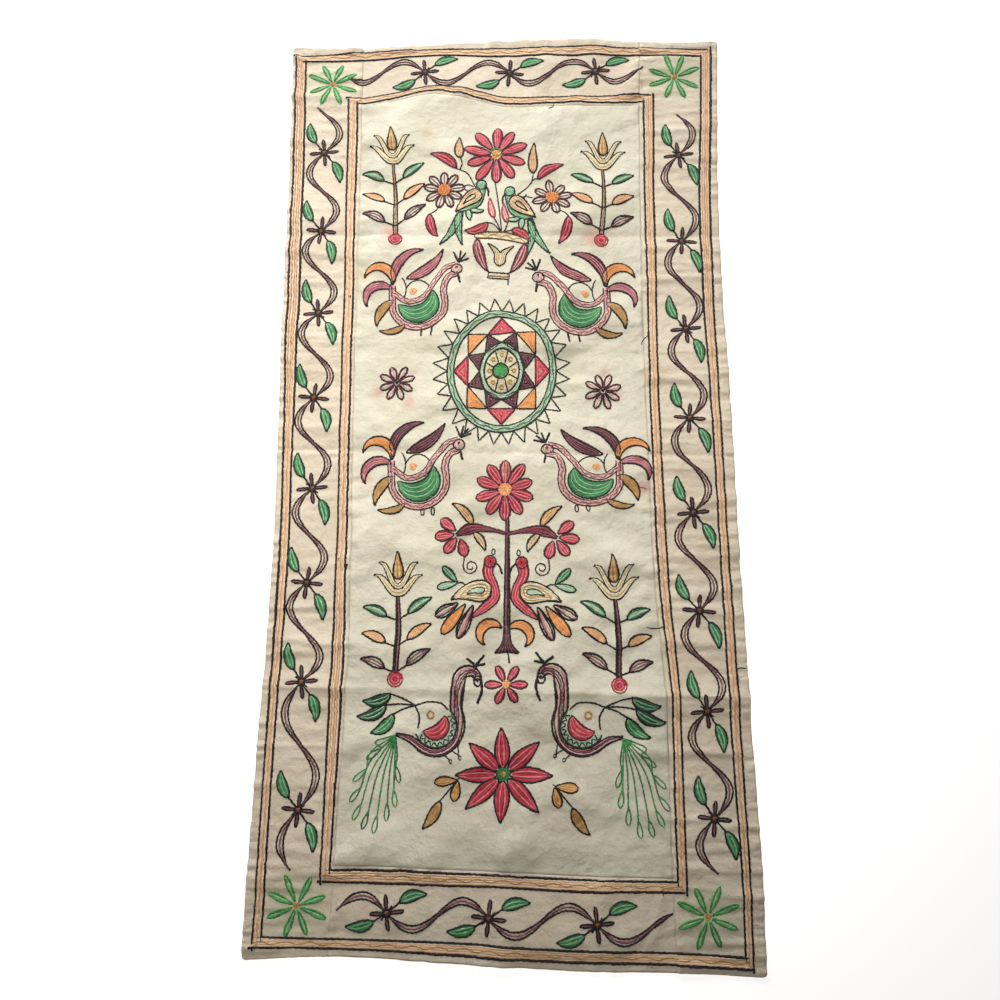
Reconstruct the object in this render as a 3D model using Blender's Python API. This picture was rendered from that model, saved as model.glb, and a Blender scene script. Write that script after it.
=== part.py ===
"""An embroidered cotton table runner, laid flat: a centre panel sewn inside four border strips.

X runs across the runner, +Y to its far end and +Z up. The origin is on the table under the middle
of the runner. The underside lies on Z = 0 wherever no fold lifts the cloth.
"""

import bisect
import math
from collections import namedtuple

import bmesh
import bpy

# Driving dimensions, in millimetres.
CLOTH_THICKNESS = 1.3
HEM_THICKNESS = 2.2
HEM_WIDTH = 8.0
HEM_STEP = 1.2
SEAM_GAP = 0.3
CORNER_RADIUS = 4.0
PANEL_COLUMNS = 16
STRIP_COLUMNS = 3
ROW_SPACING = 22.0
ROW_REACH = 440.0
ROW_CLEARANCE = 15.0
LEAST_LIFT = 0.25
SETTLING_STEPS = 6
SHARP_ANGLE = 40.0
MM = 0.001

# The cut edges and the seams wander a little, as hand-sewn ones do. Each is a smooth line through
# these points: along the runner for the side edges and side seams, across it for the others.
Along = namedtuple("Along", "y x")
Across = namedtuple("Across", "x y")

LEFT_EDGE = (
    Along(y=-452, x=-222.0),
    Along(y=-410, x=-222.2),
    Along(y=-285, x=-220.4),
    Along(y=-150, x=-216.2),
    Along(y=0, x=-217.4),
    Along(y=145, x=-220.7),
    Along(y=310, x=-222.9),
    Along(y=434, x=-226.1),
    Along(y=452, x=-226.0),
)
LEFT_SEAM = (
    Along(y=-452, x=-148.5),
    Along(y=-350, x=-145.6),
    Along(y=-180, x=-141.4),
    Along(y=-50, x=-143.4),
    Along(y=110, x=-147.0),
    Along(y=250, x=-148.4),
    Along(y=380, x=-150.2),
    Along(y=452, x=-151.0),
)
RIGHT_SEAM = (
    Along(y=-452, x=150.5),
    Along(y=-350, x=149.0),
    Along(y=-220, x=148.2),
    Along(y=-130, x=141.6),
    Along(y=0, x=138.3),
    Along(y=150, x=136.9),
    Along(y=330, x=138.2),
    Along(y=452, x=141.0),
)
RIGHT_EDGE = (
    Along(y=-452, x=225.6),
    Along(y=-365, x=226.1),
    Along(y=-240, x=222.6),
    Along(y=-100, x=219.6),
    Along(y=50, x=218.0),
    Along(y=200, x=215.0),
    Along(y=306, x=216.4),
    Along(y=427, x=221.6),
    Along(y=452, x=222.4),
)
NEAR_EDGE = (
    Across(x=-226, y=-446.0),
    Across(x=-150, y=-442.2),
    Across(x=-60, y=-444.9),
    Across(x=60, y=-450.2),
    Across(x=160, y=-450.6),
    Across(x=226, y=-452.9),
)
NEAR_SEAM = (
    Across(x=-150, y=-368.6),
    Across(x=-70, y=-369.8),
    Across(x=60, y=-374.6),
    Across(x=150, y=-376.0),
)
FAR_SEAM = (
    Across(x=-151, y=375.4),
    Across(x=-118, y=381.6),
    Across(x=-75, y=389.4),
    Across(x=-40, y=384.6),
    Across(x=0, y=374.0),
    Across(x=60, y=374.8),
    Across(x=141, y=374.2),
)
FAR_EDGE = (
    Across(x=-226, y=446.9),
    Across(x=-150, y=445.2),
    Across(x=-50, y=450.2),
    Across(x=70, y=452.9),
    Across(x=160, y=448.8),
    Across(x=226, y=447.6),
)

# The creases left by folding the runner up. They cross its whole width: a valley sits between two
# low rolls, and a ridge stands up along its own line.
Crease = namedtuple("Crease", "y slope height sharp reach kind")

CREASES = (
    Crease(y=228.0, slope=-0.012, height=3.2, sharp=9.0, reach=34.0, kind="valley"),
    Crease(y=103.0, slope=-0.008, height=1.3, sharp=6.0, reach=24.0, kind="valley"),
    Crease(y=3.0, slope=-0.014, height=2.6, sharp=8.0, reach=30.0, kind="valley"),
    Crease(y=-219.0, slope=-0.016, height=3.4, sharp=11.0, reach=30.0, kind="ridge"),
)

# Soft swells where the cloth doesn't quite reach the table.
Swell = namedtuple("Swell", "x y half_length half_width turn height")

SWELLS = (
    Swell(x=-104, y=366, half_length=46, half_width=17, turn=38, height=3.4),
    Swell(x=45, y=352, half_length=80, half_width=20, turn=-8, height=2.2),
    Swell(x=-60, y=300, half_length=60, half_width=26, turn=24, height=1.8),
    Swell(x=70, y=-28, half_length=60, half_width=16, turn=-32, height=3.0),
    Swell(x=-95, y=32, half_length=56, half_width=16, turn=6, height=2.6),
    Swell(x=-66, y=-86, half_length=46, half_width=20, turn=40, height=1.8),
    Swell(x=-62, y=-345, half_length=90, half_width=20, turn=8, height=3.2),
    Swell(x=52, y=-322, half_length=64, half_width=22, turn=28, height=3.0),
    Swell(x=60, y=-352, half_length=80, half_width=15, turn=-4, height=2.2),
    Swell(x=-186, y=-150, half_length=120, half_width=26, turn=88, height=1.6),
    Swell(x=186, y=-60, half_length=150, half_width=26, turn=90, height=1.6),
    Swell(x=182, y=300, half_length=110, half_width=24, turn=92, height=1.6),
    Swell(x=-188, y=300, half_length=110, half_width=24, turn=87, height=1.6),
    Swell(x=-20, y=-412, half_length=110, half_width=22, turn=-2, height=1.8),
    Swell(x=-60, y=416, half_length=90, half_width=20, turn=3, height=1.8),
)

# Each cloth's colour, as linear red, green and blue, with its roughness.
Cloth = namedtuple("Cloth", "name color roughness")
PANEL_CLOTH = Cloth("ivory_centre_cotton", (0.66, 0.62, 0.50, 1.0), 0.9)
STRIP_CLOTH = Cloth("blush_border_cotton", (0.66, 0.57, 0.49, 1.0), 0.9)


def ease(t):
    t = min(max(t, 0.0), 1.0)
    return t * t * (3.0 - 2.0 * t)


def smooth_line(points):
    """A function that runs smoothly through the points, from its first field to its second."""
    stations = [point[0] for point in points]
    values = [point[1] for point in points]
    last = len(points) - 1
    slopes = []
    for i in range(len(points)):
        before = max(i - 1, 0)
        after = min(i + 1, last)
        slopes.append((values[after] - values[before]) / (stations[after] - stations[before]))

    def value_at(station):
        station = min(max(station, stations[0]), stations[-1])
        i = min(max(bisect.bisect_right(stations, station) - 1, 0), last - 1)
        span = stations[i + 1] - stations[i]
        t = (station - stations[i]) / span
        start = (1 + 2 * t) * (1 - t) ** 2 * values[i] + t * (1 - t) ** 2 * span * slopes[i]
        end = t * t * (3 - 2 * t) * values[i + 1] + t * t * (t - 1) * span * slopes[i + 1]
        return start + end

    return value_at


left_edge = smooth_line(LEFT_EDGE)
left_seam = smooth_line(LEFT_SEAM)
right_seam = smooth_line(RIGHT_SEAM)
right_edge = smooth_line(RIGHT_EDGE)
near_edge = smooth_line(NEAR_EDGE)
near_seam = smooth_line(NEAR_SEAM)
far_seam = smooth_line(FAR_SEAM)
far_edge = smooth_line(FAR_EDGE)


def crease_lift(crease, x, y):
    away = abs(y - crease.y - crease.slope * x)
    fade = math.exp(-((away / crease.reach) ** 2))
    peak = math.exp(-away / crease.sharp)
    if crease.kind == "ridge":
        return crease.height * peak * fade
    return crease.height * (1.0 - peak) * fade


def swell_lift(swell, x, y):
    turn = math.radians(swell.turn)
    along = (x - swell.x) * math.cos(turn) + (y - swell.y) * math.sin(turn)
    aside = (y - swell.y) * math.cos(turn) - (x - swell.x) * math.sin(turn)
    return swell.height * math.exp(-((along / swell.half_length) ** 2) - (aside / swell.half_width) ** 2)


def lift(x, y):
    """How far the underside is off the table, in millimetres: zero where the cloth lies flat."""
    total = sum(crease_lift(crease, x, y) for crease in CREASES)
    total += sum(swell_lift(swell, x, y) for swell in SWELLS)
    return max(total - LEAST_LIFT, 0.0)


def thickness(from_edge):
    """The hem is a band of double cloth along the outer edge, with a soft step down to the rest."""
    step = ease((from_edge - HEM_WIDTH + HEM_STEP) / HEM_STEP)
    return HEM_THICKNESS + (CLOTH_THICKNESS - HEM_THICKNESS) * step


def edge_distance(x, y):
    return min(x - left_edge(y), right_edge(y) - x, y - near_edge(x), far_edge(x) - y)


def row_heights():
    """Where rows of points cross the runner, closer together at each crease so that it stays sharp."""
    count = round(2 * ROW_REACH / ROW_SPACING)
    rows = {-ROW_REACH + i * ROW_SPACING for i in range(count + 1)}
    for crease in CREASES:
        rows -= {row for row in rows if abs(row - crease.y) < ROW_CLEARANCE}
        rows |= {crease.y - crease.sharp, crease.y, crease.y + crease.sharp}
    return sorted(rows)


# A station says where a line of points runs across a piece: a share of the way from its first side
# to its second, and then a distance in millimetres.
Station = namedtuple("Station", "share inset")

HEM_INSETS = (0.0, CORNER_RADIUS, HEM_WIDTH - HEM_STEP, HEM_WIDTH)
HEM_START = [Station(0, inset) for inset in HEM_INSETS]
HEM_END = [Station(1, -station.inset) for station in reversed(HEM_START)]


def even_shares(count):
    return [Station(i / count, 0) for i in range(count + 1)]


def rows_inside(low, high):
    """The stations of the rows that cross a piece between these two heights."""
    inside = [row for row in row_heights() if low < row < high]
    return [Station((row - low) / (high - low), 0) for row in inside]


def shifted(line, distance):
    return lambda station: line(station) + distance


def round_corners(x, y):
    """Draws a point that lies near one of the four outer corners in, so that the corner is an arc."""
    for side, edge in ((1, left_edge), (-1, right_edge)):
        for up, end in ((1, near_edge), (-1, far_edge)):
            a = CORNER_RADIUS - side * (x - edge(y))
            b = CORNER_RADIUS - up * (y - end(x))
            if a > 0 and b > 0:
                shrink = max(a, b) / math.hypot(a, b)
                x += side * a * (1 - shrink)
                y += up * b * (1 - shrink)
    return x, y


def sheet_grid(left, right, low, high, across, up):
    """Rows of points between two side lines and two end lines, at the stations across and up."""
    grid = []
    for row in up:
        line = []
        for column in across:
            x = 0.0
            y = 0.0
            for _ in range(SETTLING_STEPS):
                x = left(y) + (right(y) - left(y)) * column.share + column.inset
                y = low(x) + (high(x) - low(x)) * row.share + row.inset
            line.append(round_corners(x, y))
        grid.append(line)
    return grid


def panel_grid():
    rows = rows_inside(near_seam(0), far_seam(0))
    return sheet_grid(
        shifted(left_seam, SEAM_GAP / 2),
        shifted(right_seam, -SEAM_GAP / 2),
        shifted(near_seam, SEAM_GAP / 2),
        shifted(far_seam, -SEAM_GAP / 2),
        even_shares(PANEL_COLUMNS),
        [Station(0, 0)] + rows + [Station(1, 0)],
    )


def side_strip_grid(outer, seam, mirrored):
    """A long strip, from its hemmed outer edge to its seam, with hems at both ends too."""
    across = HEM_START + even_shares(STRIP_COLUMNS)[1:]
    lines = (outer, shifted(seam, -SEAM_GAP / 2))
    if mirrored:
        across = [Station(1 - station.share, -station.inset) for station in reversed(across)]
        lines = (shifted(seam, SEAM_GAP / 2), outer)
    rows = rows_inside(near_edge(outer(0)), far_edge(outer(0)))
    return sheet_grid(*lines, near_edge, far_edge, across, HEM_START + rows[1:-1] + HEM_END)


def end_strip_grid(outer, seam, far):
    """A short strip between the side strips, from its hemmed outer edge to its seam."""
    up = HEM_START + even_shares(STRIP_COLUMNS)[1:]
    lines = (outer, shifted(seam, -SEAM_GAP / 2))
    if far:
        up = [Station(1 - station.share, -station.inset) for station in reversed(up)]
        lines = (shifted(seam, SEAM_GAP / 2), outer)
    left = shifted(left_seam, SEAM_GAP / 2)
    right = shifted(right_seam, -SEAM_GAP / 2)
    return sheet_grid(left, right, *lines, even_shares(PANEL_COLUMNS), up)


def add_sheet(name, grid, material):
    """Closes a grid of points into a sheet: an underside, a top and the walls round its rim."""
    mesh = bpy.data.meshes.new(name)
    shape = bmesh.new()
    bottom = []
    top = []
    for line in grid:
        low_line = []
        high_line = []
        for x, y in line:
            base = lift(x, y)
            high = base + thickness(edge_distance(x, y))
            low_line.append(shape.verts.new((x * MM, y * MM, base * MM)))
            high_line.append(shape.verts.new((x * MM, y * MM, high * MM)))
        bottom.append(low_line)
        top.append(high_line)
    rows = len(grid)
    columns = len(grid[0])
    for i in range(rows - 1):
        for j in range(columns - 1):
            shape.faces.new((top[i][j], top[i][j + 1], top[i + 1][j + 1], top[i + 1][j]))
            shape.faces.new((bottom[i][j], bottom[i + 1][j], bottom[i + 1][j + 1], bottom[i][j + 1]))
    rim = [(0, j) for j in range(columns)]
    rim += [(i, columns - 1) for i in range(1, rows)]
    rim += [(rows - 1, j) for j in range(columns - 2, -1, -1)]
    rim += [(i, 0) for i in range(rows - 2, 0, -1)]
    for (i, j), (k, m) in zip(rim, rim[1:] + rim[:1]):
        shape.faces.new((bottom[i][j], bottom[k][m], top[k][m], top[i][j]))
    bmesh.ops.triangulate(shape, faces=shape.faces[:])
    bmesh.ops.recalc_face_normals(shape, faces=shape.faces[:])
    shape.to_mesh(mesh)
    shape.free()
    mesh.shade_smooth()
    mesh.set_sharp_from_angle(angle=math.radians(SHARP_ANGLE))
    mesh.materials.append(material)
    sheet = bpy.data.objects.new(name, mesh)
    bpy.context.collection.objects.link(sheet)
    return sheet


def add_material(cloth):
    material = bpy.data.materials.new(cloth.name)
    material.use_nodes = True
    shader = material.node_tree.nodes["Principled BSDF"]
    shader.inputs["Base Color"].default_value = cloth.color
    shader.inputs["Roughness"].default_value = cloth.roughness
    shader.inputs["Metallic"].default_value = 0.0
    return material


def main():
    for old in list(bpy.data.objects):
        bpy.data.objects.remove(old, do_unlink=True)
    add_sheet("centre_panel", panel_grid(), add_material(PANEL_CLOTH))
    strip_material = add_material(STRIP_CLOTH)
    add_sheet("side_strip_left", side_strip_grid(left_edge, left_seam, False), strip_material)
    add_sheet("side_strip_right", side_strip_grid(right_edge, right_seam, True), strip_material)
    add_sheet("end_strip_near", end_strip_grid(near_edge, near_seam, False), strip_material)
    add_sheet("end_strip_far", end_strip_grid(far_edge, far_seam, True), strip_material)


main()
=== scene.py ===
# %% [markdown]
# # An embroidered cotton table runner
# The runner is five pieces of plain cotton: a centre panel and four border strips sewn round it.
# Everything drawn on it is thread, worked by hand in a few simple stitches. It could be a picture
# on a plane, but that looks flat as soon as the light moves. So this file builds the cloth first and
# then lays every stitch on it as real geometry, which looks right from any side.

# %% Frame
import math
from collections import namedtuple

import bpy
import numpy as np
from mathutils import Matrix


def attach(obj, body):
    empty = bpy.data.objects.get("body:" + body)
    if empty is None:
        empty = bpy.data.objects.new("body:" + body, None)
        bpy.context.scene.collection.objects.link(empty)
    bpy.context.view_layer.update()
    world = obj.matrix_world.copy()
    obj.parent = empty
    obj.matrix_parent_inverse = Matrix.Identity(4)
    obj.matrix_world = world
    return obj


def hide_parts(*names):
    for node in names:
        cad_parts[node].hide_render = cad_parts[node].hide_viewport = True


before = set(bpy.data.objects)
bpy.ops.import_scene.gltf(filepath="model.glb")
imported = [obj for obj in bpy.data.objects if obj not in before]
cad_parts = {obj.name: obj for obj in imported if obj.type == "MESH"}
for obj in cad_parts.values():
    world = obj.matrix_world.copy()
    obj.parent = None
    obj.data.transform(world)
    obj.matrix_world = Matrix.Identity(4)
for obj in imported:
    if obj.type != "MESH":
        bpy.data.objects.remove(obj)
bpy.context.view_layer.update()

MM = 0.001
print("CAD nodes:", sorted(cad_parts))

# %% [markdown]
# ## The camera
# The photograph was taken from nearly straight above, a little towards the near end, which is why
# the runner grows wider towards the bottom of the picture. A camera can be aimed by eye, or with
# a Track To constraint. Here its place and three small angles are numbers that were fitted to the
# runner's outline, so the picture matches and stays the same.

# %% Camera
CAMERA_PLACE = (0.0176, -0.1826, 0.7448)
CAMERA_TILT = 0.1857
CAMERA_YAW = -0.0273
CAMERA_ROLL = 0.0071
FOCAL_LENGTH = 28.8
SENSOR_WIDTH = 36.0


def unit(vector):
    return np.asarray(vector) / np.linalg.norm(vector)


def add_camera():
    forward = unit(
        (
            math.sin(CAMERA_YAW) * math.cos(CAMERA_TILT),
            math.sin(CAMERA_TILT),
            -math.cos(CAMERA_YAW) * math.cos(CAMERA_TILT),
        )
    )
    level = unit(np.cross(forward, (0, 1, 0)))
    raised = np.cross(level, forward)
    right = math.cos(CAMERA_ROLL) * level + math.sin(CAMERA_ROLL) * raised
    up = math.cos(CAMERA_ROLL) * raised - math.sin(CAMERA_ROLL) * level
    data = bpy.data.cameras.new("camera")
    data.lens = FOCAL_LENGTH
    data.sensor_width = SENSOR_WIDTH
    camera = bpy.data.objects.new("camera", data)
    turned = Matrix(np.array([right, up, -forward]).T.tolist()).to_4x4()
    camera.matrix_world = Matrix.Translation(CAMERA_PLACE) @ turned
    bpy.context.collection.objects.link(camera)
    bpy.context.scene.camera = camera
    return camera


camera = add_camera()
print("camera height in metres:", round(camera.matrix_world.translation.z, 3))

# %% [markdown]
# ## Seams and edges
# Hand-sewn cloth is never square. Each edge and seam is a smooth line through a few points in
# millimetres, the same lines that the solid part is built on. X runs across and Y along the runner.
# A curve object could hold each line, but a function is handier: the cloth, its hem and every
# stitch can ask it where the edge is.

# %% Seams and edges
CORNER_RADIUS = 4.0


def smooth_line(points):
    """A function that runs smoothly through (station, value) points."""
    stations, values = np.array(points, float).T
    slopes = np.empty_like(values)
    slopes[1:-1] = (values[2:] - values[:-2]) / (stations[2:] - stations[:-2])
    slopes[0] = (values[1] - values[0]) / (stations[1] - stations[0])
    slopes[-1] = (values[-1] - values[-2]) / (stations[-1] - stations[-2])

    def value_at(station):
        station = np.clip(station, stations[0], stations[-1])
        i = np.clip(np.searchsorted(stations, station, side="right") - 1, 0, len(stations) - 2)
        span = stations[i + 1] - stations[i]
        t = (station - stations[i]) / span
        start = (1 + 2 * t) * (1 - t) ** 2 * values[i] + t * (1 - t) ** 2 * span * slopes[i]
        end = t * t * (3 - 2 * t) * values[i + 1] + t * t * (t - 1) * span * slopes[i + 1]
        return start + end

    return value_at


# Side lines, as (y, x).
left_edge = smooth_line(
    [(-452, -222), (-410, -222.2), (-285, -220.4), (-150, -216.2), (0, -217.4), (145, -220.7),
     (310, -222.9), (434, -226.1), (452, -226)]
)
left_seam = smooth_line(
    [(-452, -148.5), (-350, -145.6), (-180, -141.4), (-50, -143.4), (110, -147), (250, -148.4),
     (380, -150.2), (452, -151)]
)
right_seam = smooth_line(
    [(-452, 150.5), (-350, 149), (-220, 148.2), (-130, 141.6), (0, 138.3), (150, 136.9),
     (330, 138.2), (452, 141)]
)
right_edge = smooth_line(
    [(-452, 225.6), (-365, 226.1), (-240, 222.6), (-100, 219.6), (50, 218), (200, 215),
     (306, 216.4), (427, 221.6), (452, 222.4)]
)
# End lines, as (x, y).
near_edge = smooth_line(
    [(-226, -446), (-150, -442.2), (-60, -444.9), (60, -450.2), (160, -450.6), (226, -452.9)]
)
near_seam = smooth_line([(-150, -368.6), (-70, -369.8), (60, -374.6), (150, -376)])
far_seam = smooth_line(
    [(-151, 375.4), (-118, 381.6), (-75, 389.4), (-40, 384.6), (0, 374), (60, 374.8), (141, 374.2)]
)
far_edge = smooth_line(
    [(-226, 446.9), (-150, 445.2), (-50, 450.2), (70, 452.9), (160, 448.8), (226, 447.6)]
)


def edge_distance(x, y):
    sides = np.minimum(x - left_edge(y), right_edge(y) - x)
    ends = np.minimum(y - near_edge(x), far_edge(x) - y)
    return np.minimum(sides, ends)


print("panel width at its middle, in mm:", round(float(right_seam(0) - left_seam(0)), 1))

# %% [markdown]
# ## Folds
# The runner was kept folded, and unfolding it left creases across its whole width. Between them
# the cotton stands a little off the table in long soft swells, as light cloth does. A cloth
# simulation would lay folds in places of its own. A short formula for each crease and swell puts
# them where the real ones are.

# %% Folds
Crease = namedtuple("Crease", "y slope height sharp reach kind")
CREASES = (
    Crease(228.0, -0.012, 3.2, 9.0, 34.0, "valley"),
    Crease(103.0, -0.008, 1.3, 6.0, 24.0, "valley"),
    Crease(3.0, -0.014, 2.6, 8.0, 30.0, "valley"),
    Crease(-219.0, -0.016, 3.4, 11.0, 30.0, "ridge"),
)
Swell = namedtuple("Swell", "x y half_length half_width turn height")
SWELLS = (
    Swell(-104, 366, 46, 17, 38, 3.4),
    Swell(45, 352, 80, 20, -8, 2.2),
    Swell(-60, 300, 60, 26, 24, 1.8),
    Swell(70, -28, 60, 16, -32, 3.0),
    Swell(-95, 32, 56, 16, 6, 2.6),
    Swell(-66, -86, 46, 20, 40, 1.8),
    Swell(-62, -345, 90, 20, 8, 3.2),
    Swell(52, -322, 64, 22, 28, 3.0),
    Swell(60, -352, 80, 15, -4, 2.2),
    Swell(-186, -150, 120, 26, 88, 1.6),
    Swell(186, -60, 150, 26, 90, 1.6),
    Swell(182, 300, 110, 24, 92, 1.6),
    Swell(-188, 300, 110, 24, 87, 1.6),
    Swell(-20, -412, 110, 22, -2, 1.8),
    Swell(-60, 416, 90, 20, 3, 1.8),
)
LEAST_LIFT = 0.25


def crease_lift(crease, x, y):
    away = np.abs(y - crease.y - crease.slope * x)
    fade = np.exp(-((away / crease.reach) ** 2))
    peak = np.exp(-away / crease.sharp)
    if crease.kind == "ridge":
        return crease.height * peak * fade
    return crease.height * (1 - peak) * fade


def swell_lift(swell, x, y):
    turn = math.radians(swell.turn)
    along = (x - swell.x) * math.cos(turn) + (y - swell.y) * math.sin(turn)
    aside = (y - swell.y) * math.cos(turn) - (x - swell.x) * math.sin(turn)
    fall = (along / swell.half_length) ** 2 + (aside / swell.half_width) ** 2
    return swell.height * np.exp(-fall)


def ground(x, y):
    """How far the underside is off the table."""
    total = sum(crease_lift(crease, x, y) for crease in CREASES)
    total = total + sum(swell_lift(swell, x, y) for swell in SWELLS)
    return np.maximum(total - LEAST_LIFT, 0)


print("creases:", len(CREASES), "swells:", len(SWELLS))
print("highest swell, in mm:", max(swell.height for swell in SWELLS))

# %% [markdown]
# ## Puckers
# Tight rows of stitches draw thin cotton up into little ripples that run across the row. The
# narrow strips ripple from side to side, the hem is finely ribbed, and the panel ripples beside
# its seams. A Displace modifier with a noise texture could raise them, but every stitch has to
# know the height as well, so each kind of ripple is a function of the place. Random heights on a
# lattice, smoothed by a spline, give hills. A lattice that is longer one way gives streaks.

# %% Puckers
Ripple = namedtuple("Ripple", "seed size_x size_y height")
PANEL_ROLL = Ripple(11, 29, 19, 4.0)
PANEL_FINE = Ripple(12, 11, 8, 1.3)
SIDE_STREAKS = Ripple(13, 26, 3.6, 1.1)
SIDE_ROLL = Ripple(14, 44, 12, 1.8)
END_STREAKS = Ripple(15, 8, 22, 1.2)
HEM_RIBS_SIDE = Ripple(16, 12, 2.1, 0.6)
HEM_RIBS_END = Ripple(17, 2.6, 12, 0.5)
SEAM_RIBS_SIDE = Ripple(18, 13, 3.2, 0.9)
SEAM_RIBS_END = Ripple(19, 3.6, 14, 0.8)
LATTICE_WIDTH = 560
LATTICE_LENGTH = 1040
SPARE_CELLS = 8


def spline_weights(t):
    """How much each of four lattice values in a row counts at a share of the way between two."""
    return (
        (1 - t) ** 3 / 6,
        (3 * t**3 - 6 * t**2 + 4) / 6,
        (-3 * t**3 + 3 * t**2 + 3 * t + 1) / 6,
        t**3 / 6,
    )


def rippled(ripple):
    """A height function: smooth hills of about these sizes, at random but the same every time."""
    columns = int(LATTICE_WIDTH / ripple.size_x) + SPARE_CELLS
    rows = int(LATTICE_LENGTH / ripple.size_y) + SPARE_CELLS
    lattice = np.random.default_rng(ripple.seed).uniform(-2, 2, (rows, columns))

    def height_at(x, y):
        u = (x + LATTICE_WIDTH / 2) / ripple.size_x + 1
        v = (y + LATTICE_LENGTH / 2) / ripple.size_y + 1
        i = np.floor(u).astype(int)
        j = np.floor(v).astype(int)
        total = 0.0
        for row, row_weight in enumerate(spline_weights(v - j)):
            for column, weight in enumerate(spline_weights(u - i)):
                total = total + row_weight * weight * lattice[j + row - 1, i + column - 1]
        return total * ripple.height

    return height_at


panel_roll = rippled(PANEL_ROLL)
panel_fine = rippled(PANEL_FINE)
side_streaks = rippled(SIDE_STREAKS)
side_roll = rippled(SIDE_ROLL)
end_streaks = rippled(END_STREAKS)
hem_ribs_side = rippled(HEM_RIBS_SIDE)
hem_ribs_end = rippled(HEM_RIBS_END)
seam_ribs_side = rippled(SEAM_RIBS_SIDE)
seam_ribs_end = rippled(SEAM_RIBS_END)
print("panel ripples, in mm across:", PANEL_ROLL.size_x, "and", PANEL_FINE.size_x)

# %% [markdown]
# ## The height of the cloth
# Rolls belong to the panel, streaks to the strips, and ribs to the hems and seams. A seam or a
# pressed crease is also a narrow line of its own. Vertex groups could hold where each of these
# counts. Here each fades in with its distance from a seam or an edge, so it follows the wandering
# lines by itself. A turned hem is two layers thick, and the step beside it is sharp.

# %% Height of the cloth
CLOTH_THICKNESS = 1.3
HEM_THICKNESS = 2.2
HEM_WIDTH = 8.0
HEM_STEP = 1.2
FADE_WIDTH = 3.0
ROLL_ON_ENDS = 0.6
SEAM_RIB_REACH = 12.0
SEAM_DIP = 0.7
SEAM_DIP_WIDTH = 1.7
CREASE_DIP = 0.55
CREASE_DIP_WIDTH = 2.2
FAR_OFF = 99.0
SOFTNESS = 0.5


def ease(t):
    t = np.clip(t, 0, 1)
    return t * t * (3 - 2 * t)


def puckers(x, y):
    """How much the ripples, seams and creases raise or lower the cloth."""
    outside = np.maximum(left_seam(y) - x, x - right_seam(y))
    beyond = np.maximum(near_seam(x) - y, y - far_seam(x))
    on_side = ease(outside / FADE_WIDTH + 0.5)
    on_end = ease(beyond / FADE_WIDTH + 0.5) * (1 - on_side)
    on_panel = (1 - on_side) * (1 - on_end)
    at_side_seam = np.exp(-((outside / SEAM_RIB_REACH) ** 2))
    at_end_seam = np.exp(-((beyond / SEAM_RIB_REACH) ** 2)) * (1 - on_side)
    from_side = np.minimum(x - left_edge(y), right_edge(y) - x)
    from_end = np.minimum(y - near_edge(x), far_edge(x) - y)
    on_side_hem = 1 - ease((from_side - HEM_WIDTH) / FADE_WIDTH + 0.5)
    on_end_hem = 1 - ease((from_end - HEM_WIDTH) / FADE_WIDTH + 0.5)
    height = on_panel * (panel_roll(x, y) + panel_fine(x, y))
    height = height + on_side * (side_streaks(x, y) + side_roll(x, y))
    height = height + on_end * (end_streaks(x, y) + ROLL_ON_ENDS * panel_roll(x, y))
    height = height + at_side_seam * seam_ribs_side(x, y)
    height = height + at_end_seam * seam_ribs_end(x, y)
    height = height + on_side_hem * hem_ribs_side(x, y)
    height = height + on_end_hem * hem_ribs_end(x, y)
    from_seam = np.minimum(np.abs(outside), np.where(outside < 0, np.abs(beyond), FAR_OFF))
    height = height - SEAM_DIP * np.exp(-((from_seam / SEAM_DIP_WIDTH) ** 2))
    for crease in CREASES:
        away = np.abs(y - crease.y - crease.slope * x)
        sign = 1 if crease.kind == "ridge" else -1
        height = height + sign * CREASE_DIP * np.exp(-((away / CREASE_DIP_WIDTH) ** 2))
    return height


def cloth_top(x, y):
    """The height of the upper side of the cloth, in mm. A dip ends softly where it meets the table."""
    step = ease((edge_distance(x, y) - HEM_WIDTH + HEM_STEP) / HEM_STEP)
    thickness = HEM_THICKNESS + (CLOTH_THICKNESS - HEM_THICKNESS) * step
    least = 0.5 * CLOTH_THICKNESS
    spare = thickness - least + puckers(x, y)
    return ground(x, y) + least + 0.5 * (spare + np.sqrt(spare**2 + SOFTNESS))


sample_x, sample_y = np.meshgrid(np.linspace(-210, 210, 80), np.linspace(-430, 430, 160))
print("cloth top runs to, in mm:", round(float(cloth_top(sample_x, sample_y).max()), 2))

# %% [markdown]
# ## The cloth
# Each piece is a fine grid on top, a coarser grid below and a thin wall round the rim. A plane with
# Subdivision, Displace and Solidify modifiers would come close, but its edges would be straight.
# Rows of points between two side lines and two end lines follow the wandering seams. The pieces
# meet there, where the cloth dips as a sewn seam does.

# %% Cloth pieces
Piece = namedtuple("Piece", "left right low high columns rows")
PIECES = {
    "centre_panel": Piece(left_seam, right_seam, near_seam, far_seam, 140, 368),
    "side_strip_left": Piece(left_edge, left_seam, near_edge, far_edge, 40, 740),
    "side_strip_right": Piece(right_seam, right_edge, near_edge, far_edge, 40, 740),
    "end_strip_near": Piece(left_seam, right_seam, near_edge, near_seam, 200, 40),
    "end_strip_far": Piece(left_seam, right_seam, far_seam, far_edge, 200, 40),
}
SETTLING_STEPS = 6


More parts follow.
